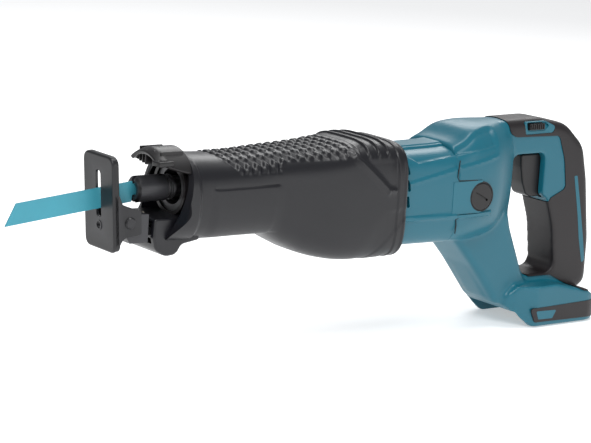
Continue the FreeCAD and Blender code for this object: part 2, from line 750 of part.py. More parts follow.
# ---------------------------------------------------------------- crank
def make_crank():
    """Bevel crank gear on an upright shaft, its pin, roller and bearing."""
    crank, motor, thick = size("crank_place"), size("motor_height"), size("crank_gear_thick")
    top = motor - size("pinion_radius") - size("mesh_gap")
    gear_low = top - thick
    disc = rod("crank_disc", ALONG_Z, gear_low, top, size("crank_gear_radius"), crank, 0)
    hub = rod("crank_hub", ALONG_Z, gear_low - 15, gear_low + 1, 6, crank, 0)
    body = fuse("crank_blank", disc, hub)
    pin_hole = rod("crank_pin_hole", ALONG_Z, gear_low - 1, top + 1, size("crank_pin_radius") + 0.01,
                   crank, size("crank_throw"))
    light = rod("crank_light_hole", ALONG_Z, gear_low - 1, top + 1, 5, crank, -size("crank_throw"))
    teeth = [crank_groove(number, top) for number in range(48)]
    grooves = group("crank_grooves", *teeth)
    keep("crank_gear", cut("crank_gear_cut", body, pin_hole, light, grooves))
    pin_top = size("slider_height") + 6
    keep("crank_pin", rod("crank_pin_rod", ALONG_Z, gear_low, pin_top, size("crank_pin_radius"),
                          crank, size("crank_throw")))
    keep("crank_roller", ring("crank_roller_ring", ALONG_Z, size("slider_height") - 5.5, pin_top - 0.3,
                              size("roller_radius"), size("crank_pin_radius") + size("running_gap"),
                              crank, size("crank_throw")))
    keep("crank_bearing", ring("crank_bearing_ring", ALONG_Z, size("boot_bottom") + 9, gear_low - 1, 12.97, 6.06, crank, 0))


def crank_groove(number, top):
    """One radial tooth gap in the crank gear's upper face."""
    groove = box(f"crank_groove{number}", (0, 14), (-0.8, 0.8), (0, 3))
    x = Size(SIZES["crank_place"], "Sizes.crank_place")
    turn = Rotation(Vector(0, 0, 1), 7.5 * number)
    out = turn.multVec(Vector(SIZES["crank_gear_radius"] - 8, -0.8, 0))
    return place(groove, x + out.x, out.y, top - 1.4, turn)


# ---------------------------------------------------------------- motor
def make_armature():
    """Everything that spins in the motor, on one shaft."""
    motor, shaft = size("motor_height"), size("shaft_radius")
    brush = size("brush_place")
    casting, cover = size("casting_rear"), size("cover_thick")
    pinion_rear = casting - 1.2
    rear_end = brush + 24
    keep("motor_shaft", turned("motor_shaft_turned", [
        (pinion_rear - size("pinion_length"), 0), (rear_end, 0), (rear_end, shaft - 0.5),
        (rear_end - 0.5, shaft), (pinion_rear - size("pinion_length"), shaft),
    ], motor))
    fit = shaft + 0.01
    pinion = turned("pinion_turned", tube_profile(pinion_rear - size("pinion_length"), pinion_rear,
                                                  size("pinion_radius"), fit), motor)
    gaps = []
    for number in range(12):
        turn = Rotation(Vector(1, 0, 0), 30 * number)
        gap = box(f"pinion_gap{number}", (0, size("pinion_length") + 2), (-0.7, 0.7), (0, 3))
        out = turn.multVec(Vector(0, -0.7, SIZES["pinion_radius"] - 1.3))
        gaps.append(place(gap, pinion_rear - size("pinion_length") - 1, out.y, motor + out.z, turn))
    keep("bevel_pinion", cut("bevel_pinion_cut", pinion, group("pinion_gaps", *gaps)))
    stator, length = size("stator_front"), size("stator_length")
    core_radius = size("stator_radius") - size("stator_wall") - size("magnet_thick") - size("air_gap")
    core = turned("core_turned", tube_profile(stator + 14, stator + length - 2, core_radius, fit), motor)
    slots = []
    for number in range(12):
        turn = Rotation(Vector(1, 0, 0), 30 * number + 15)
        slot = box(f"core_slot{number}", (0, length), (-1, 1), (0, 6))
        out = turn.multVec(Vector(0, -1, SIZES["stator_radius"] - 13))
        slots.append(place(slot, stator + 7, out.y, motor + out.z, turn))
    keep("armature_core", cut("core_cut", core, group("core_slots", *slots)))
    front_coil = turned("coil_front", tube_profile(stator + 7, stator + 14, core_radius - 3, fit), motor)
    rear_coil = turned("coil_rear", tube_profile(stator + length - 2, brush - size("commutator_length") / 2 - 3,
                                                 core_radius - 4, fit), motor)
    keep("armature_windings", group("windings", front_coil, rear_coil))
    half = size("commutator_length") / 2
    keep("commutator", turned("commutator_turned", [
        (brush - half - 3, fit), (brush + half, fit), (brush + half, size("commutator_radius")),
        (brush - half, size("commutator_radius")), (brush - half, size("commutator_radius") + 2),
        (brush - half - 3, size("commutator_radius") + 2),
    ], motor))
    make_fan(stator, motor, fit)
    ball = size("running_gap") + shaft
    keep("motor_bearing_front", turned("bearing_front_turned", tube_profile(
        casting + 1, casting + cover - 1, size("bearing_front_radius"), ball), motor))
    keep("motor_bearing_rear", turned("bearing_rear_turned", tube_profile(
        brush + half + 5, brush + half + 12, size("bearing_rear_radius"), ball), motor))


def make_fan(stator, motor, fit):
    """Cooling fan: a hub, a back plate and straight blades."""
    plate = turned("fan_plate", [(0, fit), (10, fit), (10, 9), (2, 9), (2, size("fan_radius")), (0, size("fan_radius"))],
                   motor, stator - 12)
    blades = []
    for number in range(9):
        turn = Rotation(Vector(1, 0, 0), 40 * number)
        blade = box(f"fan_blade{number}", (0, 6.5), (-0.6, 0.6), (0, size("fan_radius") - 9))
        out = turn.multVec(Vector(0, -0.6, 8.5))
        blades.append(place(blade, stator - 10.5, out.y, motor + out.z, turn))
    keep("cooling_fan", fuse("fan_solid", plate, *blades))


def make_stator():
    """Steel yoke ring with two magnets, and the baffle in front of it."""
    motor, front, length = size("motor_height"), size("stator_front"), size("stator_length")
    radius, wall = size("stator_radius"), size("stator_wall")
    keep("stator_yoke", turned("yoke_turned", tube_profile(front, front + length, radius, radius - wall), motor))
    outer = radius - wall - 0.05
    whole = ring("magnet_ring", ALONG_X, front + 8, front + length - 4, outer,
                 outer - size("magnet_thick"), 0, motor)
    band = box("magnet_band", (front, front + length), (-40, 40), (motor - 7, motor + 7))
    keep("stator_magnets", cut("magnets", whole, band))
    keep("fan_baffle", turned("baffle_turned", tube_profile(front - 1.6, front, radius + 3, 15), motor))


def make_brush_gear():
    """End bracket, brush holders, brushes, springs and the two outside caps."""
    motor, brush, shaft = size("motor_height"), size("brush_place"), size("shaft_radius")
    half = size("commutator_length") / 2
    cup_radius, hub = size("stator_radius") + 1, size("bearing_rear_radius") + 3
    front = size("parting_place") + 0.3
    bracket = turned("bracket_turned", [
        (front, cup_radius - 2.5), (brush + half - 1, cup_radius - 2.5), (brush + half + 3, hub - 3),
        (brush + half + 3, size("bearing_rear_radius") + 0.02), (brush + half + 12,
                                                                 size("bearing_rear_radius") + 0.02),
        (brush + half + 12, hub), (brush + half + 5, hub), (brush + half + 1, cup_radius), (front,
                                                                                            cup_radius),
    ], motor)
    passage = rod("bracket_brush_way", ALONG_Y, -50, 50, 6.02, brush, motor)
    windows = box("bracket_air", (front + 4, brush - 9), (-12, 12), (motor - 50, motor + 50))
    keep("motor_end_bracket", cut("end_bracket", bracket, passage, windows))
    holder = rod("holder_left_rod", ALONG_Y, -size("cap_face") + 4, -size("commutator_radius") - 2, 6,
                 brush, motor)
    channel = box("holder_left_bore", (brush - 2.6, brush + 2.6), (-50, 0), (motor - 4.1, motor + 4.1))
    left = cut("holder_left", holder, channel)
    keep("brush_holders", group("holders", left, mirrored("holder_right", left)))
    start = -size("commutator_radius") - 0.1
    carbon = box("brush_left", (brush - 2.5, brush + 2.5), (start - 12, start), (motor - 4, motor + 4))
    keep("carbon_brushes", group("brushes", carbon, mirrored("brush_right", carbon)))
    turns = [
        ring(f"brush_spring_turn{turn}", ALONG_Y, start - 14.2 - 1.9 * turn, start - 13 - 1.9 * turn, 2.3,
             1.5, brush, motor)
        for turn in range(4)
    ]
    springs = [mirrored(f"brush_spring_right{turn}", coil) for turn, coil in enumerate(turns)]
    keep("brush_springs", group("springs", *turns, *springs))
    face = -size("cap_face")
    cap = rod("cap_disc", ALONG_Y, face, face + 3.6, size("cap_radius"), brush, motor)
    slot = box("cap_slot", (brush - 6, brush + 6), (face - 1, face + 1.2), (motor - 0.9, motor + 0.9))
    left_cap = cut("cap_left", cap, slot)
    keep("brush_cap_left", left_cap)
    keep("brush_cap_right", mirrored("cap_right", left_cap))


def make_motor_housing():
    """The front plastic housing: gear cover seat, stator cradle and two side tongues."""
    motor, wall = size("motor_height"), size("housing_wall")
    front = size("casting_rear") + size("cover_thick")
    rear = size("parting_place")
    wide, low, high = size("housing_half_width"), size("housing_bottom"), size("housing_top")
    step = size("boot_wall") + size("piece_gap") - (size("boot_half_width") - wide)
    rows = [
        (front, wide - step, low + step, high - step, 15),
        (size("boot_rear") - 0.3, wide - step, low + step, high - step, 15),
        (size("boot_rear") + 1.5, wide, low, high, 15),
        (rear, wide, low, high, 15),
    ]
    outer = lofted("motor_housing_outer", rows)
    inner_rows = [(x, w - wall, b + wall, t - wall, r - wall) for x, w, b, t, r in rows]
    inner = lofted("motor_housing_inner", inner_rows)
    ribs = []
    for number, where in enumerate((front, size("stator_front"), rear - 3)):
        slice_box = box(f"motor_rib_box{number}", (where, where + 3), (-60, 60), (40, 200))
        form = lofted(f"motor_rib_form{number}",
                      [(x, w - wall / 2, b + wall / 2, t - wall / 2, r - wall / 2)
                                                  for x, w, b, t, r in rows])
        ribs.append(common(f"motor_rib{number}", slice_box, form))
    tongues = []
    for side in (-1, 1):
        span = (-wide, -wide + wall) if side < 0 else (wide - wall, wide)
        tongues.append(box(f"motor_tongue{side}", (rear - 4, size("brush_place")), span,
                           (motor - 13, motor + 13)))
    solid = fuse("motor_housing_solid", cut("motor_housing_shell", outer, inner), *ribs, *tongues)
    bore = rod("motor_housing_bore", ALONG_X, size("stator_front"), rear + 1, size("stator_radius") + 0.03,
               0, motor)
    air = rod("motor_housing_fan_way", ALONG_X, front - 1, front + 4, size("fan_radius") + 2, 0, motor)
    caps = rod("motor_housing_cap_way", ALONG_Y, -50, 50, size("cap_radius") + size("piece_gap"),
               size("brush_place"), motor)
    vents = []
    for side in (-1, 1):
        for number in range(3):
            z = motor + 16 - 14 * number
            vents.append(box(f"motor_vent{side}{number}", (size("boot_rear") + 3, size("boot_rear") + 6),
                             (side * 38 - 5, side * 38 + 5), (z - 4.5, z + 4.5)))
    keep("motor_housing", cut("motor_housing_cut", solid, bore, air, caps, group("motor_vents", *vents)))


# ---------------------------------------------------------------- handle
SCREWS = [(-66, 160), (-46, 62), (26, 149), (47, 60), (34, 29), (-30, 29)]


def skin_region(name, half):
    """Side view of the soft skin: handle top, grip and the foot's upper rear."""
    back = size("handle_back") + 5
    return slab(name, [
        (-46, size("handle_top") + 5), (back, size("handle_top") + 5), (back, 24), (40, 29),
        (-8, size("foot_height") + 2), (-17, size("foot_height") + 8), (30, 60), (4.5, 92), (8, 103),
        (24, 112), (12, 157.5), (-38, 158),
    ], -half, half)


def make_handle():
    """Both handle shells, the soft skin over the grip and the shell screws."""
    motor, brush, gap = size("motor_height"), size("brush_place"), size("piece_gap")
    whole = handle_form("handle_whole", as_size(0))
    core = handle_form("handle_core", size("skin_thick"))
    cavity = handle_form("handle_cavity", size("skin_thick") + size("shell_wall"))
    region = skin_region("skin_region", 60)
    skin = cut("skin_solid", common("skin_zone", whole, region), core)
    shells = fuse("shell_joined", cut("shell_bare", whole, region), common("shell_under", core, region))
    bosses = [
        common(f"boss{n}", rod(f"boss_rod{n}", ALONG_Y, -50, 50, 5, x, z), core) for n, (x,
                                                                                         z) in enumerate(SCREWS)
    ]
    ceiling = box("foot_ceiling", (-36, size("handle_back") - 6), (-33, 33),
                  (size("rail_depth"), size("rail_depth") + 3))
    walled = fuse("shell_walled", cut("shell_hollow", shells, cavity), *bosses, ceiling)
    cuts = [
        box("motor_room", (size("parting_place") - 1, size("parting_place") + 5), (-31, 31),
            (motor - 31, motor + 31)),
        box("tongue_room", (size("parting_place") - 2, brush), (-60, 60),
            (motor - 13 - gap, motor + 13 + gap)),
        rod("cap_room", ALONG_Y, -60, 60, size("cap_radius") + gap, brush, motor),
        *rail_cuts(),
        trigger_cut("trigger_room", 0.4),
        button_cut("button_room", 0.25),
        *[rod(f"screw_way{n}", ALONG_Y, -11, 40, size("screw_radius") + 0.05, x, z) for n,
          (x, z) in enumerate(SCREWS)],
        *[rod(f"screw_head_way{n}", ALONG_Y, 9, 40, 3.8, x, z) for n, (x, z) in enumerate(SCREWS)],
    ]
    hollow = cut("shell_cut", walled, *cuts)
    skin_cut = cut("skin_cut", skin, trigger_cut("trigger_room_skin", 0.6),
                   button_cut("button_room_skin", 0.4),
                   *[rod(f"skin_screw_way{n}", ALONG_Y, 9, 40, 3.8, x, z) for n,
                     (x, z) in enumerate(SCREWS)],
                   bezel_block("bezel_room", 0.1))
    for side, name in ((-1, "left"), (1, "right")):
        span = (-60, -0.02) if side < 0 else (0.02, 60)
        keep(f"handle_shell_{name}", common(f"shell_{name}", hollow, box(f"half_{name}", (-130, 80), span, (-10, 200))))
        keep(f"grip_skin_{name}", common(f"skin_{name}", skin_cut, box(f"skin_half_{name}", (-130, 80), span, (-10, 200))))
    screws = []
    for number, (x, z) in enumerate(SCREWS):
        shank = rod(f"shell_screw_shank{number}", ALONG_Y, -10, 9.5, size("screw_radius"), x, z)
        head = rod(f"shell_screw_head{number}", ALONG_Y, 9, 12, 3.5, x, z)
        screws.append(fuse(f"shell_screw{number}", shank, head))
    keep("handle_screws", group("shell_screws", *screws))


def rail_cuts():
    """The battery bay: an open-fronted recess with a groove behind each rail lip."""
    depth, half, groove = size("rail_depth"), size("rail_half_gap"), size("rail_groove")
    bay = box("rail_bay", (-80, size("handle_back") - 10), (-half, half), (-5, depth))
    grooves = box("rail_grooves", (-80, size("handle_back") - 10), (-half - groove, half + groove),
                  (5.5, depth))
    return [bay, grooves]


def trigger_cut(name, gap):
    half = size("trigger_half_width") + gap
    return box(name, (-12, 12), (-half, half), (104.5 - gap, 143 + gap))


def button_cut(name, gap):
    return box(name, (-23.5 - gap, -7 + gap), (-60, 60), (163.7 - gap, 169.2 + gap))


def bezel_block(name, gap):
    """The frame round the lock button on both sides of the handle."""
    half = size("grip_half_width")
    return box(name, (-27 - gap, 4 + gap), (-half - 5, half + 5), (160.5 - gap, 170.5 + gap))


# ---------------------------------------------------------------- controls and electrics
def make_controls():
    """Trigger with its plunger, switch, and the cross button that locks it."""
    half, travel = size("trigger_half_width"), size("trigger_travel")
    finger = slab("trigger_finger", [
        (-22, 142), (-20.5, 130), (-17.5, 116), (-13.5, 107), (-9, 105), (0, 105), (5.5, 105), (5.5,
                                                                                                142.5), (-22, 142.5),
    ], -half, half)
    flange = box("trigger_flange", (4.2, 5.7), (-half - 1.5, half + 1.5), (110, 142))
    keep("trigger", fuse("trigger_solid", finger, flange))
    switch_front = 5.7 + travel + 0.8
    keep("trigger_plunger", rod("plunger_rod", ALONG_X, 5.7, switch_front + 1.5, 3, 0, 126))
    body = box("switch_box", (switch_front, switch_front + 18), (-10.5, 10.5), (110, 142))
    way = rod("switch_way", ALONG_X, switch_front - 1, switch_front + travel + 3, 3.05, 0, 126)
    keep("switch_body", cut("switch_cut", body, way))
    span = (-19.4, 15.4)
    bar = box("button_bar", (-23.5, -7), span, (163.7, 169.2))
    keep("trigger_lock_button", bar)
    frame = cut("bezel_frame", common("bezel_zone", bezel_block("bezel_outer", 0),
                                      handle_form("bezel_whole", as_size(0))),
                handle_form("bezel_core", size("skin_thick")), button_cut("bezel_way", 0.4))
    keep("lock_button_bezels", frame)


def make_electrics():
    """Terminal block and blades in the battery bay, and the control board above it."""
    depth = size("rail_depth")
    block = box("terminal_box", (4, 34), (-17, 17), (depth - 5, depth))
    keep("terminal_block", block)
    blades = [
        box(f"terminal_blade{side}", (-14, 4), (side * 9 - 0.4, side * 9 + 0.4), (depth - 4.6, depth - 0.4))
        for side in (-1, 1)
    ]
    keep("terminal_blades", group("terminals", *blades))
    keep("control_board", box("board", (-10, 24), (-22, 22), (depth + 3, depth + 5)))


def make_cover_screws():
    screws = []
    for number, (y, z) in enumerate(COVER_SCREWS):
        rear = size("casting_rear") + size("cover_thick")
        screws.append(rod(f"cover_screw{number}", ALONG_X, size("casting_rear"), rear,
                          size("screw_radius"), y, z))
    keep("gear_housing_screws", group("cover_screws", *screws))


# ---------------------------------------------------------------- build
def check_and_write():
    DOC.recompute()
    for thing in DOC.Objects:
        if {"Invalid", "Error"} & set(thing.State):
            raise RuntimeError(f"{thing.Name} failed: {thing.State}")
    os.makedirs("parts", exist_ok=True)
    for name, thing in sorted(PIECES.items()):
        shape = thing.Shape
        if shape.isNull() or not shape.isValid() or not shape.Solids:
            raise RuntimeError(f"{name} has no valid solid")
        shape.exportStep(os.path.join("parts", name + ".step"))
        span = shape.BoundBox
        print(f"{name:24s} solids {len(shape.Solids):2d}  volume {shape.Volume / 1000:9.2f} cm3  "
              f"x {span.XMin:7.1f} {span.XMax:7.1f}  y {span.YMin:6.1f} {span.YMax:6.1f}  z {span.ZMin:6.1f} {span.ZMax:6.1f}")


def main():
    fill_sheet()
    make_saw_blade()
    make_slider()
    make_clamp_sleeve()
    make_clamp_lever()
    make_shoe()
    make_shoe_bracket()
    make_gear_housing()
    bolts = make_nose_fittings()
    keep("shoe_lock_bolts", group("lock_bolts", *bolts))
    make_boot()
    make_cover()
    make_cover_screws()
    make_crank()
    make_armature()
    make_stator()
    make_brush_gear()
    make_motor_housing()
    make_handle()
    make_controls()
    make_electrics()
    check_and_write()


main()
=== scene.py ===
"""Looks of the cordless reciprocating saw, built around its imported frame.

Lengths are in metres in the frame's axes: -X forward, +Y the tool's right side, +Z up.
Outlines are written in millimetres and scaled once, by MM.
"""

import json
import logging
import math
from dataclasses import dataclass, field
from enum import Enum
from typing import Callable, Iterable, Sequence

import bmesh
import bpy
import numpy as np
from mathutils import Matrix, Vector

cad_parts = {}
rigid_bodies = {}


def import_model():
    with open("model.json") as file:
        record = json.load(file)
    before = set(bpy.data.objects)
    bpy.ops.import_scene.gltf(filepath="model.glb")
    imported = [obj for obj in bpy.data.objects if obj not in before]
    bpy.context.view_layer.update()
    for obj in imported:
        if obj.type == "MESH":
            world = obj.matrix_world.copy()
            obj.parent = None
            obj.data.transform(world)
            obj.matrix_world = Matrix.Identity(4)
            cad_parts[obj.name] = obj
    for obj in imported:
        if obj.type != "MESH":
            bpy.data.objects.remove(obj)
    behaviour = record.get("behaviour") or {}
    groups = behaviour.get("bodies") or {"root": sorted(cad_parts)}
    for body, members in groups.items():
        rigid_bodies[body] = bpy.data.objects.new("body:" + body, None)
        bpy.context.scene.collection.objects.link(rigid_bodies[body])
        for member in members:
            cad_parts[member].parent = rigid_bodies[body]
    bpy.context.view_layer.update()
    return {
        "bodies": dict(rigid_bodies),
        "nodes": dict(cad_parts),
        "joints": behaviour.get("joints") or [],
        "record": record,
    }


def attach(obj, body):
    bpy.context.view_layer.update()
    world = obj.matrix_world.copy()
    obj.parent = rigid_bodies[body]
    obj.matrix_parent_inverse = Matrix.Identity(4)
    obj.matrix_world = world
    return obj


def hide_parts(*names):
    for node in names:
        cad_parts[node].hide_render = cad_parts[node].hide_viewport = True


MM = 0.001
SIDES = (-1, 1)
LOG = logging.getLogger("saw")
Point = tuple[float, float]


# ------------------------------------------------------------------ shader maths
class Signal:
    """A socket of a material's node tree that plain Python maths works on."""

    def __init__(self, tree: "Tree", socket: bpy.types.NodeSocket) -> None:
        """Wrap one output socket.

        Args:
            tree: the material that it belongs to.
            socket: the output socket.
        """
        self.tree = tree
        self.socket = socket

    def _maths(self, operation: str, first: object, second: object) -> "Signal":
        """Join two values with a Math node.

        Args:
            operation: the node's operation.
            first: a number or a Signal.
            second: a number or a Signal.

        Returns:
            The result.
        """
        return self.tree.add("ShaderNodeMath", {"operation": operation}, {0: first, 1: second})

    def __add__(self, other: object) -> "Signal":
        """Sum."""
        return self._maths("ADD", self, other)

    __radd__ = __add__

    def __sub__(self, other: object) -> "Signal":
        """Difference."""
        return self._maths("SUBTRACT", self, other)

    def __rsub__(self, other: object) -> "Signal":
        """Difference, the other way round."""
        return self._maths("SUBTRACT", other, self)

    def __mul__(self, other: object) -> "Signal":
        """Product."""
        return self._maths("MULTIPLY", self, other)

    __rmul__ = __mul__

    def __truediv__(self, other: object) -> "Signal":
        """Quotient."""
        return self._maths("DIVIDE", self, other)

    def ramp(self, low: float, high: float) -> "Signal":
        """Stretch a range to run from zero to one.

        Args:
            low: value that gives zero.
            high: value that gives one.

        Returns:
            The stretched value, held within zero and one.
        """
        return self.tree.add("ShaderNodeMapRange", {}, {0: self, 1: low, 2: high, 3: 0.0, 4: 1.0})


class Tree:
    """A material under construction."""

    def __init__(self, name: str) -> None:
        """Make a material that holds one Principled shader.

        Args:
            name: the material's name.
        """
        self.material = bpy.data.materials.new(name)
        self.material.use_nodes = True
        self.nodes = self.material.node_tree.nodes
        self.links = self.material.node_tree.links
        self.shader = next(node for node in self.nodes if node.type == "BSDF_PRINCIPLED")

    def add(self, kind: str, settings: dict[str, object], sockets: dict[object, object],
            out: object = 0) -> Signal:
        """Add any node.

        Args:
            kind: the node's type.
            settings: properties that are set before its sockets.
            sockets: input name or number to a value or a Signal.
            out: name or number of the output to return.

        Returns:
            The chosen output as a Signal.
        """
        node = self.nodes.new(kind)
        for key, value in settings.items():
            setattr(node, key, value)
        for key, value in sockets.items():
            self.feed(node.inputs[key], value)
        return Signal(self, node.outputs[out])

    def feed(self, socket: bpy.types.NodeSocket, value: object) -> None:
        """Link a Signal to a socket, or set a plain value on it."""
        if isinstance(value, Signal):
            self.links.new(value.socket, socket)
        else:
            socket.default_value = value

    def place(self) -> Signal:
        """The point on the object, in its own metres."""
        return self.add("ShaderNodeTexCoord", {}, {}, "Object")

    def noise(self, size: float, detail: float = 3.0, where: Signal | None = None) -> Signal:
        """Cloudy variation from 0 to 1.

        Args:
            size: width of a blotch in metres.
            detail: octaves of finer cloud.
            where: the place to read it at, or the object's own.

        Returns:
            The cloud's value.
        """
        spot = where or self.place()
        return self.add("ShaderNodeTexNoise", {}, {"Vector": spot, "Scale": 1.0 / size, "Detail": detail})

    def stretched(self, factors: Sequence[float]) -> Signal:
        """The point on the object, scaled along each axis."""
        return self.add("ShaderNodeVectorMath", {"operation": "MULTIPLY"},
                        {0: self.place(), 1: tuple(factors)})

    def blend(self, share: Signal, first: object, second: object) -> Signal:
        """Mix two colours.

        Args:
            share: how much of the second is taken, 0 to 1.
            first: a colour, or a Signal that carries one.
            second: a colour, or a Signal that carries one.

        Returns:
            The mixed colour.
        """
        return self.add("ShaderNodeMix", {"data_type": "RGBA"}, {0: share, 6: first, 7: second}, 2)

    def edge_wear(self) -> Signal:
        """Near one on outer edges and zero on flats and in hollows."""
        return self.add("ShaderNodeNewGeometry", {}, {}, "Pointiness").ramp(0.52, 0.6)

    def bump(self, height: Signal, depth: float, strength: float = 1.0) -> None:
        """Raise the surface.

        Args:
            height: pattern from 0 to 1.
            depth: height of the pattern in metres.
            strength: share of the effect.
        """
        normal = self.add("ShaderNodeBump", {},
                          {"Strength": strength, "Distance": depth, "Height": height})
        self.feed(self.shader.inputs["Normal"], normal)

    def set(self, **values: object) -> None:
        """Set or link shader sockets; underscores stand for spaces."""
        for key, value in values.items():
            self.feed(self.shader.inputs[key.replace("_", " ")], value)


def rgba(red: float, green: float, blue: float) -> tuple[float, float, float, float]:
    """An opaque linear colour."""
    return (red, green, blue, 1.0)


def shaded(colour: Sequence[float], share: float) -> tuple[float, float, float, float]:
    """A colour taken down to a share of its brightness."""
    return rgba(*(channel * share for channel in colour[:3]))


@dataclass(frozen=True)
class Moulding:
    """Moulded plastic or rubber with a fine spark-eroded grain."""

    name: str
    base: tuple[float, float, float, float]
    worn: tuple[float, float, float, float]
    roughness: float
    grain: float
    grain_depth: float
    coat: float = 0.0

    def make(self) -> bpy.types.Material:
        """Build the material."""
        tree = Tree(self.name)
        cloud = tree.noise(0.05, 2.0)
        grain = tree.noise(self.grain, 2.0)
        worn = tree.edge_wear() * 0.15
        tint = tree.blend(cloud.ramp(0.3, 0.8) * 0.35, self.base, shaded(self.base, 0.86))
        tree.set(Base_Color=tree.blend(worn, tint, self.worn))
        tree.set(Roughness=(grain - 0.5) * 0.12 + cloud * 0.06 + (self.roughness - 0.03))
        tree.set(Coat_Weight=self.coat, Coat_Roughness=0.35)
        tree.bump(grain, self.grain_depth)
        return tree.material


@dataclass(frozen=True)
class Metal:
    """Bare, cast or coated metal with a fine lay and rubbed edges."""

    name: str
    base: tuple[float, float, float, float]
    worn: tuple[float, float, float, float]
    roughness: float
    metallic: float
    lay: tuple[float, float, float]
    grain: float = 0.0006
    depth: float = 0.00001

    def make(self) -> bpy.types.Material:
        """Build the material."""
        tree = Tree(self.name)
        lines = tree.noise(self.grain, 3.0, tree.stretched(self.lay))
        cloud = tree.noise(0.03, 3.0)
        wear = tree.edge_wear() * 0.4
        tint = tree.blend(cloud.ramp(0.35, 0.75), self.base, shaded(self.base, 0.8))
        tree.set(Base_Color=tree.blend(wear, tint, self.worn), Metallic=self.metallic)
        tree.set(Roughness=(lines - 0.5) * 0.18 + cloud * 0.08 + self.roughness)
        tree.bump(lines, self.depth)
        return tree.material


@dataclass(frozen=True)
class Windings:
    """Enamelled wire laid in rows."""

    name: str = "copper_winding"

    def make(self) -> bpy.types.Material:
        """Build the material."""
        tree = Tree(self.name)
        rows = tree.add("ShaderNodeTexWave", {"bands_direction": "X"},
                        {"Scale": 900.0, "Distortion": 1.0}, 1)
        tree.set(Base_Color=tree.blend(rows, rgba(0.22, 0.07, 0.02), rgba(0.75, 0.33, 0.14)),
                 Metallic=0.9)
        tree.set(Roughness=rows * 0.2 + 0.25)
        tree.bump(rows, 0.0002)
        return tree.material


@dataclass(frozen=True)
class Lens:
    """A clear moulded lamp lens."""

    name: str = "lamp_lens"

    def make(self) -> bpy.types.Material:
        """Build the material."""
        tree = Tree(self.name)
        haze = tree.noise(0.002)
        tree.set(Base_Color=tree.blend(haze, rgba(0.75, 0.62, 0.45), rgba(0.95, 0.9, 0.8)))
        tree.set(Roughness=haze * 0.1 + 0.08, Coat_Weight=0.6, IOR=1.5)
        return tree.material


@dataclass(frozen=True)
class Paper:
    """The pale matt backdrop."""

    name: str = "backdrop"

    def make(self) -> bpy.types.Material:
        """Build the material."""
        tree = Tree(self.name)
        cloud = tree.noise(0.4)
        tree.set(Base_Color=tree.blend(cloud, rgba(0.93, 0.93, 0.93), rgba(0.96, 0.96, 0.96)))
        tree.set(Roughness=cloud * 0.05 + 0.85, Emission_Color=(1.0, 1.0, 1.0, 1.0),
                 Emission_Strength=0.42)
        return tree.material


class Finish(Enum):
    """Every finish on the tool."""

    TEAL = Moulding("teal_plastic", rgba(0.004, 0.125, 0.18), rgba(0.02, 0.2, 0.27), 0.36, 0.0009,
                    0.00003, 0.05)
    BOOT = Moulding("boot_rubber", rgba(0.0045, 0.0045, 0.007), rgba(0.03, 0.03, 0.036), 0.36, 0.0007,
                    0.00004)
    GRIP = Moulding("grip_rubber", rgba(0.009, 0.006, 0.007), rgba(0.03, 0.024, 0.024), 0.46, 0.0006,
                    0.00005)
    BLACK = Moulding("black_plastic", rgba(0.007, 0.006, 0.0065), rgba(0.03, 0.027, 0.03), 0.38, 0.0008,
                     0.00003)
    # Painted shade: near-black matt strips that stand in for the shade inside the seam gaps and round the
    # brush caps.
    SEAM_SHADE = Moulding("painted_seam_shade", rgba(0.008, 0.008, 0.009), rgba(0.02, 0.02, 0.02), 0.6, 0.0008,
                    0.00003)
    BOARD = Moulding("board_lacquer", rgba(0.01, 0.12, 0.05), rgba(0.05, 0.25, 0.12), 0.35, 0.002,
                     0.00003, 0.4)
    CARBON = Moulding("pressed_carbon", rgba(0.02, 0.02, 0.022), rgba(0.05, 0.05, 0.05), 0.6, 0.0005,
                      0.00006)
    FERRITE = Moulding("sintered_ferrite", rgba(0.035, 0.035, 0.04), rgba(0.1, 0.1, 0.1), 0.55, 0.0007,
                       0.00006)
    COATED = Metal("black_coated_steel", rgba(0.007, 0.007, 0.008), rgba(0.1, 0.1, 0.11), 0.32, 0.2,
                   (1, 1, 1), 0.0008)
    STEEL = Metal("ground_steel", rgba(0.5, 0.5, 0.52), rgba(0.75, 0.75, 0.76), 0.28, 1.0, (0.05, 1, 1))
    CAST = Metal("cast_aluminium", rgba(0.09, 0.09, 0.095), rgba(0.4, 0.4, 0.4), 0.48, 1.0, (1, 1, 1),
                 0.0012, 0.00006)
    BLADE = Metal("blade_coat", rgba(0.016, 0.27, 0.36), rgba(0.1, 0.4, 0.5), 0.4, 0.05, (0.08, 1, 1))
    BRASS = Metal("brass", rgba(0.62, 0.42, 0.13), rgba(0.85, 0.66, 0.3), 0.3, 1.0, (1, 0.1, 1))
    BRONZE = Metal("sintered_bronze", rgba(0.4, 0.22, 0.09), rgba(0.6, 0.4, 0.2), 0.45, 1.0, (1, 1, 1))
    COPPER = Windings()
    CLEAR = Lens()
    BACKDROP = Paper()


_MADE: dict[Finish, bpy.types.Material] = {}


def finish_material(finish: Finish) -> bpy.types.Material:
    """The finish's one material, made the first time it is asked for."""
    if finish not in _MADE:
        _MADE[finish] = finish.value.make()
    return _MADE[finish]


# ------------------------------------------------------------------ mesh tools
def new_object(name: str, vertices: Iterable[Sequence[float]],
               faces: Iterable[Sequence[int]]) -> bpy.types.Object:
    """Make a mesh object and link it to the scene.

    Args:
        name: the object's name.
        vertices: places in millimetres.
        faces: vertex numbers of each face.

    Returns:
        The object.
    """
    mesh = bpy.data.meshes.new(name)
    mesh.from_pydata([tuple(MM * c for c in v) for v in vertices], [], [tuple(f) for f in faces])
    mesh.update()
    thing = bpy.data.objects.new(name, mesh)
    bpy.context.scene.collection.objects.link(thing)
    return thing


def tidy_normals(thing: bpy.types.Object) -> bpy.types.Object:
    """Turn every face outwards."""
    work = bmesh.new()
    work.from_mesh(thing.data)
    bmesh.ops.recalc_face_normals(work, faces=work.faces)
    work.to_mesh(thing.data)
    work.free()
    return thing


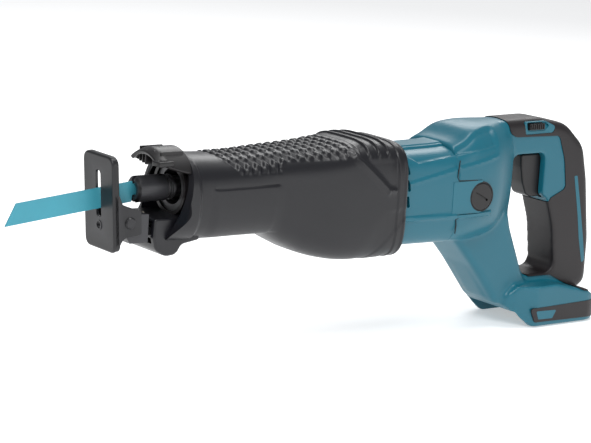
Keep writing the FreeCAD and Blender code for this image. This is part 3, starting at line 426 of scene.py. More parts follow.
def settle(thing: bpy.types.Object) -> bpy.types.Object:
    """Apply all of an object's modifiers."""
    graph = bpy.context.evaluated_depsgraph_get()
    graph.update()
    mesh = bpy.data.meshes.new_from_object(thing.evaluated_get(graph))
    thing.modifiers.clear()
    thing.data = mesh
    return thing


def modify(thing: bpy.types.Object, kind: str, **settings: object) -> bpy.types.Object:
    """Add one modifier and apply it.

    Args:
        thing: the mesh object.
        kind: the modifier's type.
        **settings: properties set on it.

    Returns:
        The same object.
    """
    modifier = thing.modifiers.new(kind.lower(), kind)
    for key, value in settings.items():
        setattr(modifier, key, value)
    return settle(thing)


def soften(thing: bpy.types.Object, radius: float, segments: int = 3,
           corner: float = 50.0) -> bpy.types.Object:
    """Round the edges that turn by more than a corner angle.

    Args:
        thing: the mesh object.
        radius: width of the rounding in millimetres.
        segments: facets across it.
        corner: smallest turn that is rounded, in degrees.

    Returns:
        The same object.
    """
    return modify(thing, "BEVEL", width=radius * MM, segments=segments, limit_method="ANGLE",
                  angle_limit=math.radians(corner))


def discard(thing: bpy.types.Object) -> None:
    """Remove a helper object."""
    bpy.data.objects.remove(thing, do_unlink=True)


def combine(thing: bpy.types.Object, tool: bpy.types.Object, how: str) -> bpy.types.Object:
    """Boolean two closed meshes and remove the tool.

    Args:
        thing: the mesh that is kept.
        tool: the mesh that shapes it.
        how: DIFFERENCE or INTERSECT.

    Returns:
        The shaped mesh.
    """
    modify(thing, "BOOLEAN", operation=how, object=tool, solver="EXACT")
    discard(tool)
    return thing


def copy_of(thing: bpy.types.Object, name: str) -> bpy.types.Object:
    """A separate copy with its own mesh."""
    twin = thing.copy()
    twin.data = thing.data.copy()
    twin.name = name
    bpy.context.scene.collection.objects.link(twin)
    return twin


def join(name: str, things: Sequence[bpy.types.Object]) -> bpy.types.Object:
    """Put several meshes into one object.

    Args:
        name: the new object's name.
        things: the meshes, which are removed.

    Returns:
        The joined object.
    """
    work = bmesh.new()
    for thing in things:
        work.from_mesh(thing.data)
        discard(thing)
    mesh = bpy.data.meshes.new(name)
    work.to_mesh(mesh)
    work.free()
    whole = bpy.data.objects.new(name, mesh)
    bpy.context.scene.collection.objects.link(whole)
    return whole


def across(side: int, near: float, far: float) -> tuple[float, float]:
    """A span along Y on one side of the middle plane, lowest first.

    Args:
        side: -1 for the left, 1 for the right.
        near: distance of its inner end from the plane.
        far: distance of its outer end.

    Returns:
        Its start and end.
    """
    return tuple(sorted((side * near, side * far)))


def prism(name: str, outline: Sequence[Point], low: float, high: float,
          axis: str = "Y") -> bpy.types.Object:
    """An outline pushed through from low to high along an axis.

    Args:
        name: the object's name.
        outline: corners in the plane across the axis, in row order of the other two axes.
        low: start along the axis.
        high: end along the axis.
        axis: X, Y or Z.

    Returns:
        A closed prism.
    """
    place = {
        "X": lambda a, b, c: (c, a, b),
        "Y": lambda a, b, c: (a, c, b),
        "Z": lambda a, b, c: (a, b, c),
    }[axis]
    count = len(outline)
    vertices = [place(a, b, low) for a, b in outline] + [place(a, b, high) for a, b in outline]
    faces = [list(range(count)), list(range(2 * count - 1, count - 1, -1))]
    faces += [[i, (i + 1) % count, (i + 1) % count + count, i + count] for i in range(count)]
    return tidy_normals(new_object(name, vertices, faces))


def rounded(outline: Sequence[tuple[float, float, float]], steps: int = 6) -> list[Point]:
    """Turn corners into a polyline with arcs.

    Args:
        outline: across, along and radius of each corner.
        steps: straight pieces in each arc.

    Returns:
        The points in order.
    """
    points: list[Point] = []
    count = len(outline)
    for number, (x, z, radius) in enumerate(outline):
        here = Vector((x, z))
        before = Vector(outline[number - 1][:2]) - here
        after = Vector(outline[(number + 1) % count][:2]) - here
        turn = before.angle(after)
        if radius <= 0 or turn > 3.1:
            points.append((x, z))
            continue
        reach = min(radius / math.tan(turn / 2), before.length * 0.49, after.length * 0.49)
        bend = reach * math.tan(turn / 2)
        middle = here + (before.normalized() + after.normalized()).normalized() * (bend / math.sin(turn / 2))
        start, end = here + before.normalized() * reach - middle, here + after.normalized() * reach - middle
        sweep = start.angle_signed(end)
        for step in range(steps + 1):
            angle = -sweep * step / steps
            spot = middle + Vector((start.x * math.cos(angle) - start.y * math.sin(angle),
                                    start.x * math.sin(angle) + start.y * math.cos(angle)))
            points.append((spot.x, spot.y))
    return points


def rod(name: str, axis: str, start: float, end: float, radius: float, first: float, second: float,
        sides: int = 48) -> bpy.types.Object:
    """A round bar along an axis.

    Args:
        name: the object's name.
        axis: X, Y or Z.
        start: where it starts along the axis.
        end: where it ends.
        radius: its radius.
        first: its place on the first of the other two axes.
        second: its place on the second.
        sides: facets round it.

    Returns:
        The bar.
    """
    circle = [(first + radius * math.cos(math.tau * i / sides),
               second + radius * math.sin(math.tau * i / sides))
              for i in range(sides)]
    return prism(name, circle, start, end, axis)


def groove(name: str, path: Sequence[Point], width: float, low: float, high: float) -> bpy.types.Object:
    """A ribbon that follows a path in side view.

    Args:
        name: the object's name.
        path: points along X and Z.
        width: the ribbon's width.
        low: start along Y.
        high: end along Y.

    Returns:
        The ribbon as a closed solid.
    """
    left: list[Point] = []
    right: list[Point] = []
    for number, (x, z) in enumerate(path):
        ahead = Vector(path[min(number + 1, len(path) - 1)]) - Vector(path[max(number - 1, 0)])
        side = Vector((-ahead.y, ahead.x)).normalized() * width / 2
        left.append((x + side.x, z + side.y))
        right.append((x - side.x, z - side.y))
    return prism(name, left + right[::-1], low, high)


def blocky(name: str, low: Sequence[float], high: Sequence[float], radius: float,
           segments: int = 3) -> bpy.types.Object:
    """A block with rounded edges.

    Args:
        name: the object's name.
        low: lowest corner.
        high: highest corner.
        radius: rounding of all edges.
        segments: facets across the rounding.

    Returns:
        The block.
    """
    outline = [(low[0], low[1]), (high[0], low[1]), (high[0], high[1]), (low[0], high[1])]
    thing = prism(name, outline, low[2], high[2], "Z")
    return modify(thing, "BEVEL", width=radius * MM, segments=segments, limit_method="NONE")


def dress(thing: bpy.types.Object, finish: Finish, smooth: bool = True,
          angle: float = 35.0) -> bpy.types.Object:
    """Give an object one finish and its shading.

    Args:
        thing: the mesh object.
        finish: its finish.
        smooth: shade it smooth.
        angle: turn in degrees above which an edge stays sharp.

    Returns:
        The same object.
    """
    thing.data.materials.clear()
    thing.data.materials.append(finish_material(finish))
    if smooth:
        thing.data.shade_smooth()
        work = bmesh.new()
        work.from_mesh(thing.data)
        limit = math.radians(angle)
        for edge in work.edges:
            edge.smooth = len(edge.link_faces) == 2 and edge.calc_face_angle(0.0) < limit
        work.to_mesh(thing.data)
        work.free()
        level = thing.modifiers.new("level_flats", "WEIGHTED_NORMAL")
        level.keep_sharp = True
    return thing


def hand_over(thing: bpy.types.Object, body: str, slot: str, *nodes: str) -> bpy.types.Object:
    """Tie a finished piece to the frame.

    Args:
        thing: the piece.
        body: the body that it rides on.
        slot: not used.
        *nodes: the nodes that it stands for.

    Returns:
        The same piece.
    """
    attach(thing, body)
    if nodes:
        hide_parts(*nodes)
    LOG.info("%s: %d faces", thing.name, len(thing.data.polygons))
    return thing


# ------------------------------------------------------------------ round-box skins
@dataclass
class Skin:
    """A closed tube of round-box sections along X, with relief raised on it."""

    stations: Sequence[tuple[float, float, float, float, float]]
    rows: int
    columns: int

    def values(self, where: np.ndarray) -> list[np.ndarray]:
        """Ease the stations' values along X.

        Args:
            where: places along X.

        Returns:
            Half width, bottom, top and squareness at each place.
        """
        table = np.array(self.stations)
        at, out = table[:, 0], []
        for column in range(1, 5):
            values = table[:, column]
            slopes = np.gradient(values, at)
            index = np.clip(np.searchsorted(at, where) - 1, 0, len(at) - 2)
            gap = at[index + 1] - at[index]
            t = np.clip((where - at[index]) / gap, 0, 1)
            rise = values[index + 1] - values[index]
            secant = rise / gap
            first = np.where(slopes[index] * secant > 0, slopes[index], 0)
            second = np.where(slopes[index + 1] * secant > 0, slopes[index + 1], 0)
            first = np.clip(first, -3 * abs(secant), 3 * abs(secant))
            second = np.clip(second, -3 * abs(secant), 3 * abs(secant))
            out.append(
                values[index] * (2 * t**3 - 3 * t**2 + 1) + values[index + 1] * (3 * t**2 - 2 * t**3)
                + gap * first * (t**3 - 2 * t**2 + t) + gap * second * (t**3 - t**2)
            )
        return out

    def build(self, name: str, inset: float = 0.0, relief: Callable[..., np.ndarray] | None = None,
              front: Callable[[np.ndarray], np.ndarray] | None = None) -> bpy.types.Object:
        """Build the tube.

        Args:
            name: the object's name.
            inset: how far the surface is taken in.
            relief: height added outwards, from x, y and z.
            front: x of the front edge for each angle, if it isn't a flat cut.

        Returns:
            The mesh object.
        """
        start, end = self.stations[0][0], self.stations[-1][0]
        turn = np.linspace(0, math.tau, self.columns, endpoint=False)
        share = np.linspace(0, 1, self.rows)
        first = front(turn) if front else np.full(self.columns, start)
        x = first[None, :] + (end - first)[None, :] * share[:, None]
        half, low, high, square = self.values(x)
        cos, sin = np.cos(turn)[None, :], np.sin(turn)[None, :]
        wide, tall, middle = half - inset, (high - low) / 2 - inset, (high + low) / 2
        reach = (abs(cos) ** square + abs(sin) ** square) ** (-1 / square)
        y, z = wide * cos * reach, middle + tall * sin * reach
        if relief is not None:
            normal_y = np.sign(cos) * abs(cos * reach) ** (square - 1) / wide
            normal_z = np.sign(sin) * abs(sin * reach) ** (square - 1) / tall
            length = np.hypot(normal_y, normal_z)
            height = relief(x, y, z)
            y, z = y + height * normal_y / length, z + height * normal_z / length
        vertices = np.stack([x, y, z], axis=-1).reshape(-1, 3)
        faces = []
        for row in range(self.rows - 1):
            for column in range(self.columns):
                after = (column + 1) % self.columns
                a, b = row * self.columns + column, row * self.columns + after
                faces.append((a, b, b + self.columns, a + self.columns))
        last = (self.rows - 1) * self.columns
        faces += [tuple(range(self.columns))[::-1], tuple(range(last, last + self.columns))]
        return tidy_normals(new_object(name, vertices.tolist(), faces))


def ease(value: np.ndarray, low: float, high: float) -> np.ndarray:
    """A smooth step.

    Args:
        value: places to read it at.
        low: place where it leaves zero.
        high: place where it reaches one.

    Returns:
        The step's height at each place.
    """
    t = np.clip((value - low) / (high - low), 0, 1)
    return t * t * (3 - 2 * t)


def between(x: np.ndarray, start: Point, end: Point) -> np.ndarray:
    """A band along X that rises over one span and falls over another.

    Args:
        x: places along X.
        start: where the rise begins and ends.
        end: where the fall begins and ends.

    Returns:
        The band's height, 0 to 1, at each place.
    """
    return ease(x, *start) * (1 - ease(x, *end))


def line_side(x: np.ndarray, z: np.ndarray, first: Point, second: Point) -> np.ndarray:
    """Signed distance from a line in side view.

    Args:
        x: places along X.
        z: places along Z.
        first: one point of the line.
        second: a point further back.

    Returns:
        The distance at each place, positive above the line.
    """
    run, rise = second[0] - first[0], second[1] - first[1]
    return ((z - first[1]) * run - (x - first[0]) * rise) / math.hypot(run, rise)


BOOT_STATIONS = (
    (-392.0, 31.0, 96.4, 161.5, 2.5),
    (-361.5, 32.5, 96.2, 161.6, 2.5),
    (-352.0, 32.2, 96.3, 160.8, 2.6),
    (-334.0, 32.0, 96.2, 159.8, 2.7),
    (-308.0, 32.2, 96.1, 160.0, 2.7),
    (-288.0, 32.8, 95.6, 161.0, 2.8),
    (-270.0, 34.8, 87.0, 161.6, 3.1),
    (-254.0, 36.8, 79.5, 161.8, 3.4),
    (-229.0, 39.6, 72.8, 162.8, 3.9),
    (-199.0, 40.5, 70.8, 165.8, 4.4),
    (-184.0, 40.5, 71.0, 165.2, 4.5),
    (-168.0, 39.6, 73.0, 162.0, 4.5),
)
TEAL_STATIONS = (
    (-176.0, 36.6, 78.0, 156.6, 3.9),
    (-140.0, 37.2, 77.5, 157.2, 3.9),
    (-122.0, 37.6, 77.2, 157.6, 3.9),
    (-113.0, 37.8, 77.0, 158.2, 3.9),
)


@dataclass
class Boot:
    """The rubber boot over the gear case and its lower lobe round the shoe bar."""

    weave: float = 8.0

    def front_edge(self, turn: np.ndarray) -> np.ndarray:
        """The rim lies furthest forward low down, where it runs into the lobe."""
        lower = np.clip(-np.sin(turn) - 0.05, 0, 1)
        side = 1 - abs(np.sin(turn))
        return -361.5 - 6.5 * side - 18 * ease(lower, 0.15, 0.75)

    def relief(self, x: np.ndarray, y: np.ndarray, z: np.ndarray) -> np.ndarray:
        """Height of the rim, grip weave, ribs and collar above the plain skin."""
        rim = 1.3 * (1 - ease(x, -360.0, -357.0))
        nose_edge, bulge_edge = 147.5, 150 + 5 * ease(x, -288, -276)
        low_edge = np.where(x < -284, nose_edge, bulge_edge) + 12 * (1 - ease(x, -334, -318))
        inside = ease(z - low_edge, -0.8, 0.8) * between(x, (-336, -333), (-219, -215))
        turn = math.pi / self.weave
        bands = np.cos(turn * (x + 0.9 * y)) * np.cos(turn * (x - 0.9 * y))
        weave = -0.7 + 1.7 * ease(bands, -0.3, 0.8)
        line = -0.5 * np.exp(-(((z - 138.5) / 0.7) ** 2)) * between(x, (-347, -343), (-288, -284))
        step = 0.8 * ease(138.5 - z, 0.0, 2.0) * between(x, (-350, -340), (-292, -280)) * (z > 100)
        upper = line_side(x, z, (-219.0, 157.0), (-186.0, 128.0))
        diagonal = 1.6 * np.exp(-((upper / 2.2) ** 2)) * between(x, (-224, -219), (-188, -184))
        diagonal = diagonal * (abs(y) > 12)
        foot = 1.3 * np.exp(-(((z - 128.0) / 2.0) ** 2)) * between(x, (-189, -186), (-179, -176))
        panel = -0.5 * ease(upper, 2.5, 5.0) * between(x, (-208, -204), (-179, -176)) * (z < 152)
        ribs = 1.5 * ease(np.cos(math.tau * (x + 214) / 9.5), 0.2, 0.9)
        ribs = ribs * between(x, (-214, -210), (-182, -179)) * ease(z, 154, 158)
        collar = ease(x, -177.5, -176.0) + 0.7 * np.exp(-(((x + 169.5) / 1.2) ** 2))
        crease = line_side(x, z, (-200.0, 71.0), (-172.0, 102.0))
        dent = -0.5 * between(crease, (-1.0, 1.0), (6.0, 22.0)) * ease(x, -214, -196) * (z < 112)
        return rim + inside * weave + line + step + diagonal + foot + panel + ribs + collar + dent

    def build(self) -> bpy.types.Object:
        """Build the boot with its hollow front and lobe."""
        skin = Skin(BOOT_STATIONS, 380, 200)
        outer = skin.build("insulation_boot_skin", 0.0, self.relief, self.front_edge)
        hollow = Skin([(-395.0, *BOOT_STATIONS[0][1:]), *[s for s in BOOT_STATIONS[1:4]]], 16, 96)
        room = hollow.build("nose_room", 4.4)
        combine(outer, room, "DIFFERENCE")
        lobe = self.build_lobe()
        return join("insulation_boot", [outer, lobe])

    def build_lobe(self) -> bpy.types.Object:
        """The lobe that wraps the bar's channel, with the lamp's hood."""
        side = rounded([(-391, 117, 2), (-391.5, 103, 4), (-389, 93, 8), (-380, 87.8, 10),
                        (-370, 88.6, 9),
                        (-366, 96, 6), (-350, 98.5, 0), (-350, 116, 0)], 8)
        lobe = prism("lobe", side, -21.5, 21.5)
        soften(lobe, 3.2, 4, corner=60.0)
        combine(lobe, rod("lobe_saddle", "X", -400, -340, 17.5, 0, 136), "DIFFERENCE")
        channel = blocky("lobe_channel", (-400, -17.2, 97.5), (-376, 17.2, 114), 1.2, 2)
        return combine(lobe, channel, "DIFFERENCE")

    def finish(self) -> None:
        """Build, dress and hand over."""
        hand_over(dress(self.build(), Finish.BOOT), "housing", "black_rubber", "insulation_boot")


@dataclass
class ClampLever:
    """The hooded release lever over the blade clamp."""

    radius: float = 31.0
    thick: float = 3.0

    def build(self) -> bpy.types.Object:
        """Build the hood, its tab, inner ribs and collar."""
        rows, columns = 26, 40
        vertices: list[tuple[float, float, float]] = []
        for row in range(rows):
            share = row / (rows - 1)
            x = -361.8 - 28.0 * share
            spread = math.radians(62 - 22 * share**1.6)
            drop = 3.2 * max(0.0, share - 0.72) ** 1.5 * 6
            for column in range(columns):
                angle = -spread + 2 * spread * column / (columns - 1)
                radius = self.radius - drop - 0.5 * abs(angle)
                vertices.append((x, radius * math.sin(angle), 136 + radius * math.cos(angle)))
        faces = [(r * columns + c, r * columns + c + 1, (r + 1) * columns + c + 1, (r + 1) * columns + c)
                 for r in range(rows - 1) for c in range(columns - 1)]
        hood = tidy_normals(new_object("hood", vertices, faces))
        modify(hood, "SOLIDIFY", thickness=self.thick * MM, offset=-1)
        soften(hood, 0.9)
        tab = blocky("lever_tab", (-391.5, -24.5, 156.0), (-378, -14, 160.0), 1.2)
        ribs = [blocky(f"lever_rib{n}", (-388 + 2 * abs(n), 7 * n - 0.8, 154),
                       (-364, 7 * n + 0.8, 165.5), 0.5, 2)
                for n in (-2, -1, 0, 1, 2)]
        collar = rod("lever_collar_out", "X", -365.5, -347.6, 21.45, 0, 136, 72)
        combine(collar, rod("lever_collar_in", "X", -370, -340, 18.55, 0, 136, 72), "DIFFERENCE")
        return join("clamp_lever_hood", [hood, tab, *ribs, collar])

    def finish(self) -> None:
        """Build, dress and hand over."""
        hand_over(dress(self.build(), Finish.BLACK), "clamp_lever", "black_plastic", "clamp_lever")


@dataclass
class MotorHousing:
    """The front teal housing between the boot and the handle shells."""

    rows: int = 120
    columns: int = 220

    def build(self) -> bpy.types.Object:
        """Build the housing with its tongues, ledge, ridge, bar and vents."""
        skin = Skin(TEAL_STATIONS, self.rows, self.columns)
        shell = skin.build("motor_housing_shell", 0.0, teal_relief)
        tongues = [prism(f"tongue{side}",
                         rounded([(-118, 130, 0), (-88, 130, 0), (-88, 103.5, 0), (-118, 103.5, 0)]),
                         *across(side, 33, 38.0)) for side in SIDES]
        for tongue in tongues:
            combine(tongue, rod("cap_way", "Y", -60, 60, 12.0, -88, 116.5), "DIFFERENCE")
        cuts = []
        for side in SIDES:
            for z in (143.0, 130.0, 117.0):
                slot = rounded([(-165.5, z + 4.6, 1), (-162.8, z + 4.6, 1), (-161.3, z - 4.6, 1),
                                (-164.0, z - 4.6, 1)])
                cuts.append(prism("vent", slot, *across(side, 30, 45)))
        for tool in cuts:
            combine(shell, tool, "DIFFERENCE")
        return join("motor_housing_body", [shell, *tongues])

    def finish(self) -> None:
        """Build, dress and hand over."""
        hand_over(dress(self.build(), Finish.TEAL), "housing", "teal_plastic", "motor_housing")


def teal_relief(x: np.ndarray, y: np.ndarray, z: np.ndarray) -> np.ndarray:
    """Ledge, ridge line and bar that run along the teal housings."""
    ridge = line_side(x, z, (-176.0, 130.0), (-68.0, 149.5))
    shelf = -0.9 * ease(ridge, -0.9, 0.9) + 0.9 * np.exp(-((ridge + 1.6) / 1.0) ** 2) * 0.5
    ledge = line_side(x, z, (-152.0, 146.5), (-104.0, 151.5))
    notch = line_side(x, z, (-166.0, 155.0), (-152.0, 146.5))
    top = -1.6 * ease(np.minimum(ledge, notch), 0.0, 2.2) * (abs(y) > 14)
    bar = 1.5 * ease(1.9 - abs(z - 103.0 + 0.012 * (x + 168)), -0.4, 0.5) * (1 - ease(x, -76, -73))
    return (shelf + bar) * (abs(y) > 10) + top


@dataclass
class Handle:
    """Both teal handle shells and the soft skin over the grip."""

    voxel: float = 1.25
    skin_height: float = 0.75
    cap_place: Point = (-88.0, 116.5)
    outline: Sequence[tuple[float, float, float]] = field(default_factory=lambda: (
        (-100, 120, 0), (-100, 165, 0), (-70, 171.5, 12), (-10, 172.4, 30), (22, 166, 26), (43, 147, 24),
        (50, 118, 40), (57.2, 66, 40), (57.2, 26, 10), (20, 20, 0), (-52, 22, 8), (-76, 54, 40),
        (-98, 78, 30),
    ))

    def core(self) -> bpy.types.Object:
        """The whole handle as one smooth closed form."""
        barrel = Skin((
            (-113.0, 37.8, 77.0, 158.2, 3.9),
            (-104.0, 37.9, 77.0, 162.0, 3.9),
            (-92.0, 37.6, 77.0, 169.0, 3.8),
            (-80.0, 36.6, 77.0, 171.8, 3.4),
            (-64.0, 33.0, 77.5, 172.6, 3.0),
            (-52.0, 27.0, 79.0, 172.6, 2.8),
            (-39.0, 19.0, 84.0, 172.0, 2.6),
        ), 60, 120).build("barrel")
        frame = prism("frame", rounded(self.outline, 8), -16.6, 16.6)
        soften(frame, 7.0, 5, corner=60.0)
        leg = prism("leg", rounded([
            (-100, 100, 0), (-42, 100, 0), (-38, 84, 20), (-18, 37, 16), (0, 30, 0),
            (0, 16, 0), (-48, 19, 8), (-76, 54, 40), (-98, 78, 10),
        ], 6), -23, 23)
        soften(leg, 6.0, 4, corner=60.0)
        plan = prism("foot_plan", rounded([
            (-53, -21, 4), (-34, -30.5, 8), (-15, -36.5, 4), (57.2, -36.5, 17),
            (57.2, 36.5, 17), (-15, 36.5, 4), (-34, 30.5, 8), (-53, 21, 4),
        ], 8), 0.2, 35, "Z")
        side = prism("foot_side", rounded([
            (-18, 0.2, 1), (57.2, 0.2, 1), (57.2, 19, 3), (40, 27.5, 6), (-6, 38, 12),
            (-30, 38, 10), (-42, 27, 6), (-42, 18.5, 3),
        ], 5), -40, 40)
        combine(plan, side, "INTERSECT")
        whole = join("handle_core", [barrel, frame, leg, plan])
        modify(whole, "REMESH", mode="VOXEL", voxel_size=self.voxel * MM)
        opening = prism("opening", rounded([
            (-37.6, 143.6, 8), (-37.8, 84, 40), (-16.5, 39.8, 9), (19.0, 39.8, 9),
            (13.6, 80, 60), (5.0, 104.2, 6), (-1.0, 108, 3), (-1.0, 143.6, 6),
        ], 8), -60, 60)
        modify(opening, "BEVEL", width=0.2 * MM, segments=1, limit_method="NONE")
        combine(whole, opening, "DIFFERENCE")
        modify(whole, "REMESH", mode="VOXEL", voxel_size=self.voxel * MM)
        modify(whole, "SMOOTH", iterations=12, factor=0.5)
        return whole

    def regions(self, name: str) -> bpy.types.Object:
        """Side view of the soft skin, pushed through the handle."""
        return prism(name, rounded([
            (-47, 180, 0), (66, 180, 0), (66, 24, 0), (36, 27, 6), (14, 38.5, 8), (-10, 39, 3),
            (-18, 44, 3), (-6, 50, 8), (8, 50, 8), (4, 92, 8), (5, 100, 4), (8, 105, 3),
            (24, 112, 5), (20, 137, 40), (12, 157.5, 5), (-36, 158.5, 10), (-43, 162, 6),
        ], 6), -50, 50)

    def build(self) -> list[bpy.types.Object]:
        """Build shells and skin."""
        core = self.core()
        skin = copy_of(core, "grip_skin")
        modify(skin, "DISPLACE", strength=self.skin_height * MM, mid_level=0.0, direction="NORMAL")
        combine(skin, self.regions("skin_region"), "INTERSECT")
        for tool in (self.trigger_room("trigger_way", 0.9), self.plunger_room("plunger_way", 0.8),
                     self.bezel("bezel_way", 0.15)):
            combine(skin, tool, "DIFFERENCE")
        self.raise_relief(core)
        self.carve(core)
        return [core, skin]

    def trigger_room(self, name: str, gap: float) -> bpy.types.Object:
        """The slot that the trigger slides in."""
        return blocky(name, (-30, -9.6 - gap, 104.6 - gap), (14, 9.6 + gap, 142.9 + gap), 1.5, 2)

    def plunger_room(self, name: str, gap: float) -> bpy.types.Object:
        """The way that the trigger's plunger slides in."""
        return rod(name, "X", 8, 24, 3.2 + gap, 0, 126)

    def bezel(self, name: str, gap: float) -> bpy.types.Object:
        """The outline of the lock button's frame."""
        return prism(name, rounded([
            (-28 - gap, 171 + gap, 2), (-6, 171 + gap, 4), (7 + gap, 165.6, 3),
            (4, 160.4 - gap, 3), (-26 - gap, 160 - gap, 2),
        ]), -30, 30)

    def raise_relief(self, core: bpy.types.Object) -> None:
        """Carry the ridge, ledge and bar on along the handle's barrel."""
        count = len(core.data.vertices)
        spots, normals = np.empty(count * 3), np.empty(count * 3)
        core.data.vertices.foreach_get("co", spots)
        core.data.vertices.foreach_get("normal", normals)
        spots, normals = spots.reshape(-1, 3), normals.reshape(-1, 3)
        x, y, z = (spots / MM).T
        fade = (1 - ease(x, -73, -66)) * ease(abs(normals[:, 1]), 0.35, 0.6) * ease(z, 96, 99)
        spots += normals * (teal_relief(x, y, z) * fade * MM)[:, None]
        core.data.vertices.foreach_set("co", spots.ravel())
        core.data.update()

    def stripes(self, skin: bpy.types.Object) -> bpy.types.Object:
        """The slim inlays down both flanks of the grip."""
        stripe = copy_of(skin, "grip_stripes")
        modify(stripe, "DISPLACE", strength=0.12 * MM, mid_level=0.0, direction="NORMAL")
        outline = rounded([
            (32.5, 122, 1), (36.0, 122, 1), (43.5, 90, 20), (48.0, 70, 20), (52.5, 48, 1),
            (49.0, 46, 1), (43.5, 68, 20), (40.0, 88, 20),
        ], 4)
        sides = join("stripe_sides", [prism("side", outline, *across(side, 8, 30)) for side in SIDES])
        return combine(stripe, sides, "INTERSECT")

    def serrations(self) -> bpy.types.Object:
        """The row of finger bumps down the front of the opening."""
        bumps = [
            rod(f"bump{n}", "Y", -15.5, 15.5, 2.0, -38.6 - 0.1 * n, 137.5 - 4.7 * n, 20)
            for n in range(8)
        ]
        for bump in bumps:
            soften(bump, 0.9, corner=60.0)
        return join("finger_bumps", bumps)

    def carve(self, core: bpy.types.Object) -> None:
        """Cut the cap seats, tongue ways, battery bay, button way, plunger way and trigger slot."""
        x, z = self.cap_place
        for side in SIDES:
            combine(core, rod("cap_seat", "Y", *across(side, 36.7, 50), 12.4, x, z, 72), "DIFFERENCE")
            tongue = prism("tongue_way", [(-114, 130.5), (-88, 130.5), (-88, 103), (-114, 103)],
                           *across(side, 37.0, 50))
            combine(core, tongue, "DIFFERENCE")
        bay = blocky("bay", (-80, -30, -6), (47, 30, 14), 1.0, 2)
        combine(core, bay, "DIFFERENCE")
        combine(core, blocky("bay_grooves", (-10, -32, 5.5), (47, 32, 14), 0.8, 2), "DIFFERENCE")
        combine(core, self.trigger_room("trigger_room", 0.6), "DIFFERENCE")
        combine(core, self.plunger_room("plunger_room", 0.6), "DIFFERENCE")
        combine(core, blocky("button_room", (-24, -40, 163.4), (-6.6, 40, 169.6), 0.8, 2), "DIFFERENCE")

    def finish(self) -> None:
        """Build, dress and hand over."""
        core, skin = self.build()
        core.name = "handle_shells"
        hand_over(dress(core, Finish.TEAL), "housing", "teal_plastic", "handle_shell_left",
                  "handle_shell_right")
        hand_over(dress(self.stripes(skin), Finish.TEAL), "housing", "teal_plastic")
        hand_over(dress(self.serrations(), Finish.TEAL), "housing", "teal_plastic")
        hand_over(dress(skin, Finish.GRIP), "housing", "black_soft", "grip_skin_left", "grip_skin_right")


